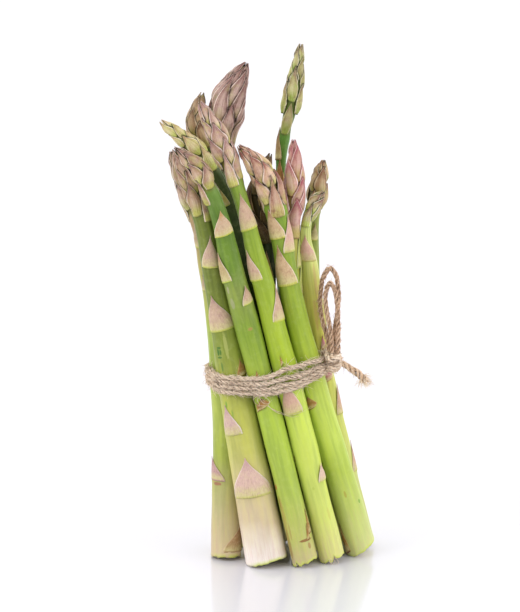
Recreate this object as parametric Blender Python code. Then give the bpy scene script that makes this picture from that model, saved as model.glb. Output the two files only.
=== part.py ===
"""A bundle of thirteen green asparagus spears tied round the middle with jute twine.

The bundle stands on its cut ends at z = 0.  X is the width, -Y the front, +Z up; metres.
Each spear is one grown solid from cut end to tip, each scale leaf on its bare stem is a
thin shield that hugs the stem, and the tie is a four-turn winding, a knot, two bow loops
and a short tail.
"""

import math

import bpy
import numpy as np
from mathutils import Vector

# --- driving dimensions, in metres ---
MM = 0.001
WAIST_HEIGHT = 0.076      # where the twine holds the stems together
SHOULDER_HEIGHT = 0.115   # where the stems begin to fan out
SPEAR_GAP = 0.0005        # air left between neighbouring spears
SPEAR_SIDES = 10
STEM_RINGS = 13
HEAD_RINGS = 8
TIP_RADIUS = 0.0005
SPAN_SAMPLES = (24, 14, 10, 8, 8)   # foot to waist, to shoulder, to neck, to crown, to tip
NECK_SAMPLE = sum(SPAN_SAMPLES[:3])
CROWN_SHARE = 0.3         # where a head is widest, from its neck to its tip
CROWN_CLOSING = 1.9       # above 2 a head stays full for longer, near 1 it is a cone
SETTLE_ROUNDS = 160
SETTLE_STEP = 0.9         # share of each push that is taken in one round
SETTLE_SMOOTHINGS = 8     # keeps a pushed spear a smooth curve
SETTLED_WITHIN = 0.00002
SHARP_EDGE = math.radians(50)

SCALE_GAP = 0.00045       # air between a scale leaf and its stem
SCALE_THICKNESS = 0.0005
SCALE_ROWS = 5
SCALE_COLUMNS = 5
SCALE_NARROWING = 1.6     # a leaf keeps its width low down and narrows to its tip
SCALE_TIP_ANGLE = 3.0     # half the width of the blunt tip, in degrees
SCALE_TIP_LIFT = 0.0003
SCALE_RIM_THINNING = 0.35
SCALE_TIP_THINNING = 0.3

TWINE_DIAMETER = 0.0019
WINDING_TURNS = 4
WINDING_PITCH = 0.00222
WINDING_HEIGHT = 0.0727   # middle of the winding at the left of the bundle
WINDING_RISE = 0.0075     # how far the winding climbs towards the knot
CLIMB_START = -0.35       # cosine of the angle from +X at which the climb starts
CLIMB_SPAN = 1.25
CLIMB_CURVE = 1.3
STEPS_PER_TURN = 30
RIM_POINTS = 32           # round each stem, where the winding is drawn taut
TWINE_GAP = 0.0008        # air between the twine and what it holds
KNOT_ANGLE = math.radians(-21)   # from +X, seen from above
KNOT_HEIGHT = 0.0806
KNOT_GAP = 0.0004          # air between the knot and the winding under it
KNOT_SIZE = (0.0046, 0.0042, 0.0068)
KNOT_COLUMNS = 12
KNOT_ROWS = 8
KNOT_PINCH = 0.08

GREEN = (0.36, 0.50, 0.11)
PALE_GREEN = (0.52, 0.62, 0.20)
OLIVE = (0.40, 0.42, 0.15)
BLUSH = (0.55, 0.42, 0.27)
SCALE_COLOUR = (0.56, 0.40, 0.29)
JUTE = (0.60, 0.43, 0.27)

# Each spear, in millimetres: where its axis stands at the cut end, at the waist and at the
# shoulder (x, y); then the neck, the crown and the tip of its head (x, y, z); its radius at
# foot, waist, shoulder, neck and crown; how freely it yields to its neighbours; its colour.
SPEARS = {
    "spear_front_stout": dict(
        foot=(-11.6, -18), waist=(-25, -11), shoulder=(-32.4, -11),
        neck=(-37.7, -11, 141), crown=(-42.7, -11.5, 154), tip=(-48, -12, 166),
        girth=(8.6, 6.2, 4.0, 3.5, 3.6), give=0.4, colour=PALE_GREEN,
    ),
    "spear_front_left": dict(
        foot=(4, -20), waist=(-14.2, -15.5), shoulder=(-24.6, -15),
        neck=(-33.5, -17, 149.8), crown=(-39.3, -18.5, 160.6), tip=(-48.2, -19.5, 168.5),
        girth=(5.2, 4.9, 4.7, 3.5, 4.1), give=0.3, colour=GREEN,
    ),
    "spear_front_middle": dict(
        foot=(15, -15), waist=(-3.8, -14.5), shoulder=(-13.6, -14),
        neck=(-24.5, -12.5, 155), crown=(-29.5, -11.5, 168), tip=(-38, -10.5, 185.5),
        girth=(5.1, 5.0, 4.3, 3.3, 4.6), give=0.3, colour=GREEN,
    ),
    "spear_front_right": dict(
        foot=(27, -3), waist=(5.8, -9), shoulder=(-3.5, -9),
        neck=(-8.5, -9, 143.5), crown=(-12.6, -10.5, 155.5), tip=(-23, -12, 168.5),
        girth=(6.3, 5.1, 4.3, 4.5, 5.3), give=0.3, colour=GREEN,
    ),
    "spear_left": dict(
        foot=(-28, -9), waist=(-29, 0.5), shoulder=(-34.5, 0),
        neck=(-39.7, -4.5, 138), crown=(-44.2, -5.5, 150), tip=(-49.5, -7, 165.5),
        girth=(6.0, 5.3, 3.9, 2.8, 3.4), give=0.6, colour=PALE_GREEN,
    ),
    "spear_right": dict(
        foot=(27.5, 8.5), waist=(10.5, 2), shoulder=(4.0, 2.0),
        neck=(4.1, 1.5, 138), crown=(6.6, 1.5, 142.5), tip=(11.4, 1, 148),
        girth=(5.2, 4.2, 3.9, 2.2, 3.0), give=0.5, colour=OLIVE,
    ),
    "spear_pink_tip": dict(
        foot=(14, 4), waist=(2, 0), shoulder=(1.0, 0.5),
        neck=(-0.2, 1, 131), crown=(-0.5, 1, 149), tip=(-1, 1, 169),
        girth=(5.0, 3.9, 3.5, 3.0, 4.6), give=1.0, colour=BLUSH,
    ),
    "spear_yellow_tip": dict(
        foot=(-9, -2), waist=(-16.8, -3.5), shoulder=(-21, -2.5),
        neck=(-32, 0, 155), crown=(-40, 2, 164.5), tip=(-54, 4, 176),
        girth=(5.2, 4.5, 3.5, 2.5, 3.9), give=1.0, colour=GREEN,
    ),
    "spear_inner": dict(
        foot=(4, -4), waist=(-7.2, -4.8), shoulder=(-11.5, -3.5),
        neck=(-10.8, 0, 124), crown=(-15.2, 1.5, 145), tip=(-10, 3, 163),
        girth=(5.0, 4.3, 3.5, 3.6, 5.4), give=1.0, colour=GREEN,
    ),
    "spear_back_left": dict(
        foot=(-22, 10), waist=(-20, 5.5), shoulder=(-23, 7),
        neck=(-34, 9, 162), crown=(-40, 10, 173), tip=(-37, 10, 186.5),
        girth=(5.5, 4.6, 4.0, 2.6, 4.1), give=1.0, colour=OLIVE,
    ),
    "spear_back_tall": dict(
        foot=(5, 20), waist=(-1.8, 9.5), shoulder=(-4.5, 11.5),
        neck=(-5, 12, 167), crown=(-1.5, 12.5, 183), tip=(2, 14, 205.5),
        girth=(5.2, 4.2, 3.3, 2.4, 4.0), give=1.0, colour=OLIVE,
    ),
    "spear_back_purple": dict(
        foot=(-7, 15), waist=(-10.5, 7), shoulder=(-17, 8),
        neck=(-28, 12, 166), crown=(-27.5, 11.5, 181), tip=(-19.5, 10, 198.3),
        girth=(5.6, 4.8, 4.2, 3.4, 7.5), give=1.0, colour=BLUSH,
    ),
    "spear_back_right": dict(
        foot=(21, 18), waist=(7.3, 10.6), shoulder=(6.2, 12.5),
        neck=(7.4, 12, 138), crown=(9, 10.5, 148), tip=(11.2, 9, 159.5),
        girth=(5.2, 4.3, 3.4, 2.6, 4.4), give=1.0, colour=OLIVE,
    ),
}

# Scale leaves on the bare stems: spear, height of the base and length in millimetres, the
# way it faces in degrees (0 front, 90 right, 180 back) and how far it wraps to each side.
SCALES = (
    ("spear_front_stout", 29, 14.4, -5, 66),
    ("spear_front_stout", 54.2, 11.7, -38, 36),
    ("spear_front_stout", 95.7, 14.1, -18, 62),
    ("spear_front_stout", 120.3, 12.6, -6, 50),
    ("spear_front_left", 105.2, 7, 44, 32),
    ("spear_front_left", 116.6, 12, -58, 44),
    ("spear_front_left", 134.5, 9.6, 0, 66),
    ("spear_front_middle", 32.5, 7, 56, 26),
    ("spear_front_middle", 63, 5.4, -16, 58),
    ("spear_front_middle", 98, 13.5, 52, 46),
    ("spear_front_middle", 116.7, 12.3, -46, 50),
    ("spear_front_middle", 136, 13.5, 6, 70),
    ("spear_front_right", 113.2, 16, -12, 64),
    ("spear_front_right", 124.8, 14.6, 68, 44),
    ("spear_front_right", 131.8, 14, -38, 60),
    ("spear_left", 2.5, 10.8, 38, 50),
    ("spear_left", 31, 9.3, -52, 42),
    ("spear_left", 110, 7.2, -39, 24),
    ("spear_left", 128, 10.8, -16, 66),
    ("spear_right", 31, 12, 96, 46),
    ("spear_right", 56, 12, 74, 40),
    ("spear_right", 120.4, 10.8, 18, 40),
    ("spear_pink_tip", 100, 11, 50, 28),
    ("spear_yellow_tip", 143.5, 7, -30, 36),
    ("spear_inner", 110, 12, -14, 60),
    ("spear_back_left", 22, 13, -150, 50),
    ("spear_back_left", 52, 12, 176, 40),
    ("spear_back_left", 104, 13, -160, 60),
    ("spear_back_left", 134, 12, -125, 54),
    ("spear_back_tall", 36, 12, 176, 44),
    ("spear_back_tall", 98, 13, 170, 56),
    ("spear_back_tall", 128, 13, -172, 60),
    ("spear_back_tall", 158.5, 10, -86, 48),
    ("spear_back_purple", 28, 13, 178, 56),
    ("spear_back_purple", 56, 12, 168, 40),
    ("spear_back_purple", 104, 13, 170, 54),
    ("spear_back_purple", 134, 12, 150, 56),
    ("spear_back_purple", 143, 7, 20, 36),
    ("spear_back_right", 40, 12, 130, 52),
    ("spear_back_right", 100, 13, 140, 56),
    ("spear_back_right", 126.5, 8, 20, 34),
)

# The bow loops and the tail, in millimetres, each from the knot outwards.
LOOP_TALL = (
    (13.2, -10.0, 85.2), (12.2, -8.4, 91), (10.4, -6.6, 97), (9.5, -5.2, 103), (9.8, -4.6, 109),
    (11.0, -4.4, 114.6), (13.4, -4.4, 117.8), (15.6, -4.6, 115.4), (16.6, -5.0, 110),
    (16.7, -5.6, 104), (16.0, -6.8, 97), (15.4, -8.4, 91), (15.6, -9.6, 85.2),
)
LOOP_SHORT = (
    (14.2, -12.4, 85.0), (13.9, -11.6, 91), (13.0, -10.4, 97), (11.8, -9.0, 103),
    (11.8, -7.8, 109), (13.4, -7.2, 112.4), (15.1, -7.8, 110), (16.2, -8.8, 104),
    (16.6, -10.2, 97.5), (16.6, -11.4, 91), (16.6, -12.0, 85.0),
)
TAIL = (
    (18.2, -10.8, 80.4), (20.2, -11.0, 79.4), (22.8, -11.2, 77.8), (25.4, -11.4, 75.8),
    (27.6, -11.6, 73.4),
)


def clear_objects():
    for thing in list(bpy.data.objects):
        bpy.data.objects.remove(thing, do_unlink=True)


def make_material(name, colour, roughness):
    material = bpy.data.materials.new(name)
    material.use_nodes = True
    shader = material.node_tree.nodes["Principled BSDF"]
    shader.inputs["Base Color"].default_value = (*colour, 1.0)
    shader.inputs["Roughness"].default_value = roughness
    shader.inputs["Metallic"].default_value = 0.0
    material.diffuse_color = (*colour, 1.0)
    return material


def make_object(name, vertices, faces, colour, roughness):
    mesh = bpy.data.meshes.new(name)
    mesh.from_pydata([tuple(v) for v in vertices], [], faces)
    mesh.validate()
    mesh.update()
    mesh.shade_smooth()
    mesh.set_sharp_from_angle(angle=SHARP_EDGE)
    mesh.materials.append(make_material(name + "_skin", colour, roughness))
    made = bpy.data.objects.new(name, mesh)
    bpy.context.collection.objects.link(made)
    return made


# --- smooth curves ---
def smooth_curve(points, steps):
    """Points along a smooth curve through points, with steps samples on each span."""
    points = np.asarray(points, float)
    spans = np.linalg.norm(np.diff(points[:, :3], axis=0), axis=1)
    slopes = np.diff(points, axis=0) / spans[:, None]
    tangents = np.empty_like(points)
    tangents[0] = slopes[0]
    tangents[-1] = slopes[-1]
    for i in range(1, len(points) - 1):
        before, after = spans[i - 1], spans[i]
        tangents[i] = (slopes[i - 1] * after + slopes[i] * before) / (before + after)
    curve = []
    for i, count in enumerate(steps):
        for t in np.linspace(0, 1, count, endpoint=False):
            keep = 2 * t**3 - 3 * t**2 + 1
            curve.append(
                keep * points[i] + (1 - keep) * points[i + 1]
                + (t**3 - 2 * t**2 + t) * spans[i] * tangents[i]
                + (t**3 - t**2) * spans[i] * tangents[i + 1]
            )
    curve.append(points[-1])
    return np.array(curve)


def bud_radius(share, neck, crown):
    """Radius of the head at a share of the way from neck to tip: it swells, then closes."""
    if share < CROWN_SHARE:
        rise = share / CROWN_SHARE
        return neck + (crown - neck) * (3 * rise**2 - 2 * rise**3)
    fall = (share - CROWN_SHARE) / (1 - CROWN_SHARE)
    return TIP_RADIUS + (crown - TIP_RADIUS) * (1 - fall**CROWN_CLOSING)


def spear_samples(spec):
    """Centres and radii along a spear: the stem is sampled evenly, then the head."""
    foot, waist, shoulder, neck, crown = (g * MM for g in spec["girth"])
    knots = [
        (spec["foot"][0] * MM, spec["foot"][1] * MM, 0.0, foot),
        (spec["waist"][0] * MM, spec["waist"][1] * MM, WAIST_HEIGHT, waist),
        (spec["shoulder"][0] * MM, spec["shoulder"][1] * MM, SHOULDER_HEIGHT, shoulder),
        (*(c * MM for c in spec["neck"]), neck),
        (*(c * MM for c in spec["crown"]), crown),
        (*(c * MM for c in spec["tip"]), TIP_RADIUS),
    ]
    route = smooth_curve(knots, SPAN_SAMPLES)
    head = route[NECK_SAMPLE:]
    along = np.concatenate([[0], np.cumsum(np.linalg.norm(np.diff(head[:, :3], axis=0), axis=1))])
    for row, share in zip(head, along / along[-1]):
        row[3] = bud_radius(share, neck, crown)
    return route


# --- settling the spears against each other ---
def settle(routes, gives):
    """Push overlapping spears apart sideways until every pair keeps its gap."""
    names = list(routes)
    for _ in range(SETTLE_ROUNDS):
        pushes = {n: np.zeros((len(routes[n]), 2)) for n in names}
        worst = 0.0
        for i, first in enumerate(names):
            for second in names[i + 1:]:
                a, b = routes[first], routes[second]
                apart = np.linalg.norm(a[:, None, :3] - b[None, :, :3], axis=2)
                lack = a[:, None, 3] + b[None, :, 3] + SPEAR_GAP - apart
                worst = max(worst, lack.max())
                if lack.max() <= 0:
                    continue
                share = gives[first] / (gives[first] + gives[second])
                for own, other, part, lacks in (
                    (first, second, share, lack), (second, first, 1 - share, lack.T),
                ):
                    nearest = lacks.argmax(axis=1)
                    depth = np.clip(lacks.max(axis=1), 0, None)
                    way = routes[own][:, :2] - routes[other][nearest][:, :2]
                    way /= np.linalg.norm(way, axis=1)[:, None] + 1e-9
                    pushes[own] += way * (depth * part)[:, None]
        for n in names:
            push = pushes[n]
            for _ in range(SETTLE_SMOOTHINGS):
                padded = np.vstack([push[:1], push, push[-1:]])
                push = (padded[:-2] + 2 * padded[1:-1] + padded[2:]) / 4
            routes[n][:, :2] += SETTLE_STEP * push
        if worst < SETTLED_WITHIN:
            break
    print("settled to within", round(worst * 1000, 3), "mm")


def thin_out(route):
    """The rings that a spear's solid needs, fewer on the stem than on the head."""
    stem = np.linspace(0, NECK_SAMPLE, STEM_RINGS).round().astype(int)
    head = np.linspace(NECK_SAMPLE, len(route) - 1, HEAD_RINGS).round().astype(int)
    return route[np.concatenate([stem, head[1:]])]


def frames_along(centres):
    """Front and right directions square to the route at each centre."""
    tangents = np.gradient(centres, axis=0)
    tangents /= np.linalg.norm(tangents, axis=1)[:, None]
    forward = np.array([0.0, -1.0, 0.0])
    front = forward - tangents * (tangents @ forward)[:, None]
    front /= np.linalg.norm(front, axis=1)[:, None]
    return front, np.cross(tangents, front)


def build_spear(name, route, colour):
    rings = thin_out(route)
    front, right = frames_along(rings[:, :3])
    front[0], right[0] = (0, -1, 0), (1, 0, 0)
    vertices = []
    for row, f, r in zip(rings, front, right):
        for k in range(SPEAR_SIDES):
            angle = 2 * math.pi * k / SPEAR_SIDES
            vertices.append(row[:3] + row[3] * (math.cos(angle) * f + math.sin(angle) * r))
    faces = [tuple(reversed(range(SPEAR_SIDES)))]
    for i in range(len(rings) - 1):
        for k in range(SPEAR_SIDES):
            n = (k + 1) % SPEAR_SIDES
            low, high = i * SPEAR_SIDES, (i + 1) * SPEAR_SIDES
            faces.append((low + k, low + n, high + n, high + k))
    top = (len(rings) - 1) * SPEAR_SIDES
    faces.append(tuple(range(top, top + SPEAR_SIDES)))
    return make_object(name, vertices, faces, colour, 0.45)


# --- scale leaves ---
def row_at_height(route, height):
    return np.array([np.interp(height, route[:, 2], route[:, c]) for c in range(4)])


def build_scale(name, route, height, length, facing, wrap):
    """A pointed shield that lies along the stem, wide at its base and closed all round."""
    heights = np.linspace(height, height + length, SCALE_ROWS)
    centres = np.array([row_at_height(route, h) for h in heights])
    front, right = frames_along(centres[:, :3])
    inner, outer = [], []
    for i in range(SCALE_ROWS):
        up = i / (SCALE_ROWS - 1)
        half = wrap * (1 - up**SCALE_NARROWING) + SCALE_TIP_ANGLE
        lift = SCALE_GAP + SCALE_TIP_LIFT * up
        for j in range(SCALE_COLUMNS):
            across = 2 * j / (SCALE_COLUMNS - 1) - 1
            angle = math.radians(facing + half * across)
            way = math.cos(angle) * front[i] + math.sin(angle) * right[i]
            thick = SCALE_THICKNESS * (1 - SCALE_RIM_THINNING * abs(across))
            thick *= 1 - SCALE_TIP_THINNING * up
            inner.append(centres[i, :3] + way * (centres[i, 3] + lift))
            outer.append(centres[i, :3] + way * (centres[i, 3] + lift + thick))
    count = SCALE_COLUMNS
    shift = len(inner)
    faces = []
    for i in range(SCALE_ROWS - 1):
        for j in range(count - 1):
            a, b = i * count + j, i * count + j + 1
            c, d = b + count, a + count
            faces.append((d, c, b, a))
            faces.append((a + shift, b + shift, c + shift, d + shift))
    rim = list(range(count))
    rim += [i * count + count - 1 for i in range(1, SCALE_ROWS)]
    rim += [(SCALE_ROWS - 1) * count + j for j in range(count - 2, -1, -1)]
    rim += [i * count for i in range(SCALE_ROWS - 2, 0, -1)]
    for a, b in zip(rim, rim[1:] + rim[:1]):
        faces.append((a, b, b + shift, a + shift))
    return make_object(name, inner + outer, faces, SCALE_COLOUR, 0.6)


# --- the tie ---
def hull(points):
    """The convex outline of flat points, anticlockwise."""
    points = sorted(map(tuple, points))

    def chain(row):
        line = []
        for p in row:
            while len(line) > 1 and (
                (line[-1][0] - line[-2][0]) * (p[1] - line[-2][1])
                - (line[-1][1] - line[-2][1]) * (p[0] - line[-2][0])
            ) <= 0:
                line.pop()
            line.append(p)
        return line[:-1]

    return np.array(chain(points) + chain(points[::-1]))


def taut_radius(routes, height, angle, clearance):
    """How far from the waist's middle a taut cord passes, at a height and an angle."""
    circle = np.linspace(0, 2 * math.pi, RIM_POINTS, endpoint=False)
    rim = []
    for route in routes.values():
        x, y, _, radius = row_at_height(route, height)
        reach = radius + clearance
        rim += [(x + reach * math.cos(c), y + reach * math.sin(c)) for c in circle]
    outline = hull(rim)
    middle = waist_middle(routes)
    way = np.array([math.cos(angle), math.sin(angle)])
    for start, end in zip(outline, np.roll(outline, -1, axis=0)):
        side = end - start
        across = way[0] * side[1] - way[1] * side[0]
        if abs(across) < 1e-12:
            continue
        gap = start - middle
        reach = (gap[0] * side[1] - gap[1] * side[0]) / across
        share = (gap[0] * way[1] - gap[1] * way[0]) / across
        if reach > 0 and -1e-9 <= share <= 1 + 1e-9:
            return reach
    raise ValueError("no outline at this angle")


def waist_middle(routes):
    return np.mean([row_at_height(r, WAIST_HEIGHT)[:2] for r in routes.values()], axis=0)


def winding_path(routes):
    """Four turns of twine up the waist, climbing towards the knot at the right."""
    middle = waist_middle(routes)
    path = []
    for k in range(WINDING_TURNS * STEPS_PER_TURN + 1):
        turn = k / STEPS_PER_TURN
        angle = KNOT_ANGLE - 2 * math.pi * turn
        climb = min(max((math.cos(angle) - CLIMB_START) / CLIMB_SPAN, 0), 1)
        height = WINDING_HEIGHT + WINDING_RISE * climb**CLIMB_CURVE
        height += WINDING_PITCH * (turn - WINDING_TURNS / 2)
        reach = taut_radius(routes, height, angle, TWINE_DIAMETER / 2 + TWINE_GAP)
        path.append((*(middle + reach * np.array([math.cos(angle), math.sin(angle)])), height))
    return path


def build_cord(name, points, diameter):
    curve = bpy.data.curves.new(name, "CURVE")
    curve.dimensions = "3D"
    curve.bevel_depth = diameter / 2
    curve.bevel_resolution = 2
    curve.use_fill_caps = True
    curve.twist_mode = "MINIMUM"
    line = curve.splines.new("POLY")
    line.points.add(len(points) - 1)
    for point, place in zip(line.points, points):
        point.co = (*place, 1.0)
    line.use_smooth = True
    curve.materials.append(make_material(name + "_jute", JUTE, 0.85))
    made = bpy.data.objects.new(name, curve)
    bpy.context.collection.objects.link(made)
    return made


def build_free_end(name, points, steps=2):
    route = smooth_curve(np.array(points) * MM, (steps,) * (len(points) - 1))
    return build_cord(name, route, TWINE_DIAMETER)


def knot_centre(routes):
    """The knot sits just outside the winding."""
    outside = TWINE_GAP + TWINE_DIAMETER + KNOT_GAP
    reach = taut_radius(routes, KNOT_HEIGHT, KNOT_ANGLE, outside) + KNOT_SIZE[0] / 2
    x, y = waist_middle(routes) + reach * np.array([math.cos(KNOT_ANGLE), math.sin(KNOT_ANGLE)])
    return x, y, KNOT_HEIGHT


def build_knot(centre):
    """A rounded lump, drawn in between its two crossing strands."""
    columns, rows = KNOT_COLUMNS, KNOT_ROWS
    vertices = []
    for i in range(1, rows):
        polar = math.pi * i / rows
        for k in range(columns):
            turn = 2 * math.pi * k / columns
            swell = 1 + KNOT_PINCH * math.cos(2 * turn + 2 * polar)
            wide = math.sin(polar)
            way = (wide * math.cos(turn), wide * math.sin(turn), math.cos(polar))
            vertices.append([c + 0.5 * s * swell * w for c, s, w in zip(centre, KNOT_SIZE, way)])
    top = len(vertices)
    vertices.append((centre[0], centre[1], centre[2] + KNOT_SIZE[2] / 2))
    vertices.append((centre[0], centre[1], centre[2] - KNOT_SIZE[2] / 2))
    faces = []
    for k in range(columns):
        n = (k + 1) % columns
        faces.append((top, k, n))
        last = (rows - 2) * columns
        faces.append((top + 1, last + n, last + k))
        for i in range(rows - 2):
            high, low = i * columns, (i + 1) * columns
            faces.append((high + k, low + k, low + n, high + n))
    return make_object("twine_knot", vertices, faces, JUTE, 0.85)


def stand_on_origin():
    """Move everything so that the spears' box has its bottom centre at the world origin."""
    corners = np.array([
        tuple(vertex.co)
        for thing in bpy.data.objects if thing.name.startswith("spear_")
        for vertex in thing.data.vertices
    ])
    low, high = corners.min(axis=0), corners.max(axis=0)
    shift = Vector((-(low[0] + high[0]) / 2, -(low[1] + high[1]) / 2, -low[2]))
    for thing in bpy.data.objects:
        thing.location = shift
    print("moved by", [round(c * 1000, 2) for c in shift], "mm")


def main():
    clear_objects()
    routes = {name: spear_samples(spec) for name, spec in SPEARS.items()}
    settle(routes, {name: spec["give"] for name, spec in SPEARS.items()})
    for name, spec in SPEARS.items():
        build_spear(name, routes[name], spec["colour"])
    counts = {}
    for spear, height, length, facing, wrap in SCALES:
        counts[spear] = counts.get(spear, 0) + 1
        name = spear.replace("spear", "scale") + "_" + str(counts[spear])
        build_scale(name, routes[spear], height * MM, length * MM, facing, wrap)
    build_cord("twine_winding", winding_path(routes), TWINE_DIAMETER)
    build_knot(knot_centre(routes))
    build_free_end("twine_loop_tall", LOOP_TALL)
    build_free_end("twine_loop_short", LOOP_SHORT)
    build_free_end("twine_tail", TAIL)
    stand_on_origin()


main()
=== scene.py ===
# A tied bundle of green asparagus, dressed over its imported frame. Lengths are in metres.
import math
import bpy
import numpy as np
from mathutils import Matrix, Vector


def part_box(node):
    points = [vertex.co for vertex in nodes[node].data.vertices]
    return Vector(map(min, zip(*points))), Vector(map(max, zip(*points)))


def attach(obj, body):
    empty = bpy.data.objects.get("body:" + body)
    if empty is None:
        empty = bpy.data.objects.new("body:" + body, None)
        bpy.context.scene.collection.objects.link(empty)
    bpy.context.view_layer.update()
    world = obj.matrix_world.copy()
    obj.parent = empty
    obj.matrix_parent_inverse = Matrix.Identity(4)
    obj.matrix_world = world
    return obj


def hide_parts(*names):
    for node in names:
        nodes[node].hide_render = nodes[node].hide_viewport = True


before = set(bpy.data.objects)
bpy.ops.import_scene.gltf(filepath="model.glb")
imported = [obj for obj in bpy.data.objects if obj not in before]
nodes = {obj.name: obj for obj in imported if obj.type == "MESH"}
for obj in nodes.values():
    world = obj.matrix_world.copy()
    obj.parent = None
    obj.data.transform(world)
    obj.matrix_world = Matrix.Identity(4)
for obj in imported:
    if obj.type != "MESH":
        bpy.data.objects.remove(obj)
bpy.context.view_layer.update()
mm = 0.001
turn = 2 * math.pi


# helpers for numbers and routes
def curveThrough(points, perSpan):
    # a smooth curve through points; extra columns such as the girth go along with x, y, z
    points = np.asarray(points, float)
    spans = np.linalg.norm(np.diff(points[:, :3], axis=0), axis=1)
    slopes = np.diff(points, axis=0) / spans[:, None]
    before, after = spans[:-1, None], spans[1:, None]
    inner = (slopes[:-1] * after + slopes[1:] * before) / (before + after)
    tangents = np.vstack([slopes[:1], inner, slopes[-1:]])
    rows = []
    for i, span in enumerate(spans):
        t = np.linspace(0, 1, perSpan, endpoint=False)[:, None]
        keep = 2 * t**3 - 3 * t**2 + 1
        bend = (t**3 - 2 * t**2 + t) * tangents[i] + (t**3 - t**2) * tangents[i + 1]
        rows.append(keep * points[i] + (1 - keep) * points[i + 1] + span * bend)
    return np.vstack(rows + [points[-1:]])


def distanceAlong(points):
    steps = np.linalg.norm(np.diff(points[:, :3], axis=0), axis=1)
    return np.concatenate([[0.0], np.cumsum(steps)])


def evenSteps(points, spacing):
    along = distanceAlong(points)
    marks = np.linspace(0, along[-1], max(3, int(round(along[-1] / spacing)) + 1))
    return np.array([np.interp(marks, along, column) for column in points.T]).T


def unit(rows):
    return rows / (np.linalg.norm(rows, axis=-1, keepdims=True) + 1e-12)


def halfTurn(angle):
    # the same angle, brought between minus and plus half a turn
    return (angle + math.pi) % turn - math.pi


def wobble(seed, values, pitch, size=1.0):
    # a smooth random wave between -size and size, the same each run
    rng = np.random.default_rng(seed)
    knots = rng.uniform(-1, 1, 512)
    place = np.asarray(values) / pitch + 100.0
    low = np.floor(place).astype(int)
    part = place - low
    part = part * part * (3 - 2 * part)
    return size * (knots[low % 512] * (1 - part) + knots[(low + 1) % 512] * part)


# helpers for meshes
def makePiece(name, points, faces, material, marks=None, vectors=None):
    mesh = bpy.data.meshes.new(name)
    mesh.from_pydata([tuple(p) for p in points], [], faces)
    mesh.update()
    mesh.shade_smooth()
    for kind, field, table in (("FLOAT", "value", marks), ("FLOAT_VECTOR", "vector", vectors)):
        for key, values in (table or {}).items():
            made = mesh.attributes.new(key, kind, "POINT")
            made.data.foreach_set(field, np.asarray(values, np.float32).ravel())
    mesh.materials.append(material)
    piece = bpy.data.objects.new(name, mesh)
    bpy.context.scene.collection.objects.link(piece)
    return piece


def tubeFaces(rings, sides, first=0):
    # side walls of a tube whose rings follow each other in the point list
    faces = []
    for i in range(rings - 1):
        low = first + i * sides
        for k in range(sides):
            n = (k + 1) % sides
            faces.append((low + k, low + n, low + sides + n, low + sides + k))
    return faces


def makeJoined(name, parts, material):
    # one piece from several closed shapes, each given as points, faces, marks and grain
    points, faces, marks, grain = zip(*parts)
    shifts = np.cumsum([0] + [len(own) for own in points]).tolist()
    joined = [tuple(v + shift for v in face) for shift, own in zip(shifts, faces) for face in own]
    marks = {key: np.concatenate([own[key] for own in marks]) for key in marks[0]}
    return makePiece(name, np.vstack(points), joined, material, marks, {"grain": np.vstack(grain)})


def partName(node):
    # "spear_front_left" to "FrontLeft"
    return "".join(word.capitalize() for word in node.split("_")[1:])


def fit(piece, slotName, *replaced):
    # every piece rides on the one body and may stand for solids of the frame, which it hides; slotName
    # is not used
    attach(piece, "root")
    if replaced:
        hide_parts(*replaced)


# helpers for materials
def tint(code):
    # "#rrggbb" to the linear colour that the shaders take
    parts = [int(code[i:i + 2], 16) / 255 for i in (1, 3, 5)]
    return (*[p / 12.92 if p <= 0.04045 else ((p + 0.055) / 1.055) ** 2.4 for p in parts], 1.0)


def feed(tree, socket, value):
    # a tint, a number or another node's output goes into a socket
    if isinstance(value, str):
        value = tint(value)
    if isinstance(value, (int, float, tuple)):
        socket.default_value = value
    else:
        tree.links.new(value, socket)


def mathNode(tree, operation, *values):
    node = tree.nodes.new("ShaderNodeMath")
    node.operation = operation
    for socket, value in zip(node.inputs, values):
        feed(tree, socket, value)
    return node.outputs["Value"]


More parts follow.
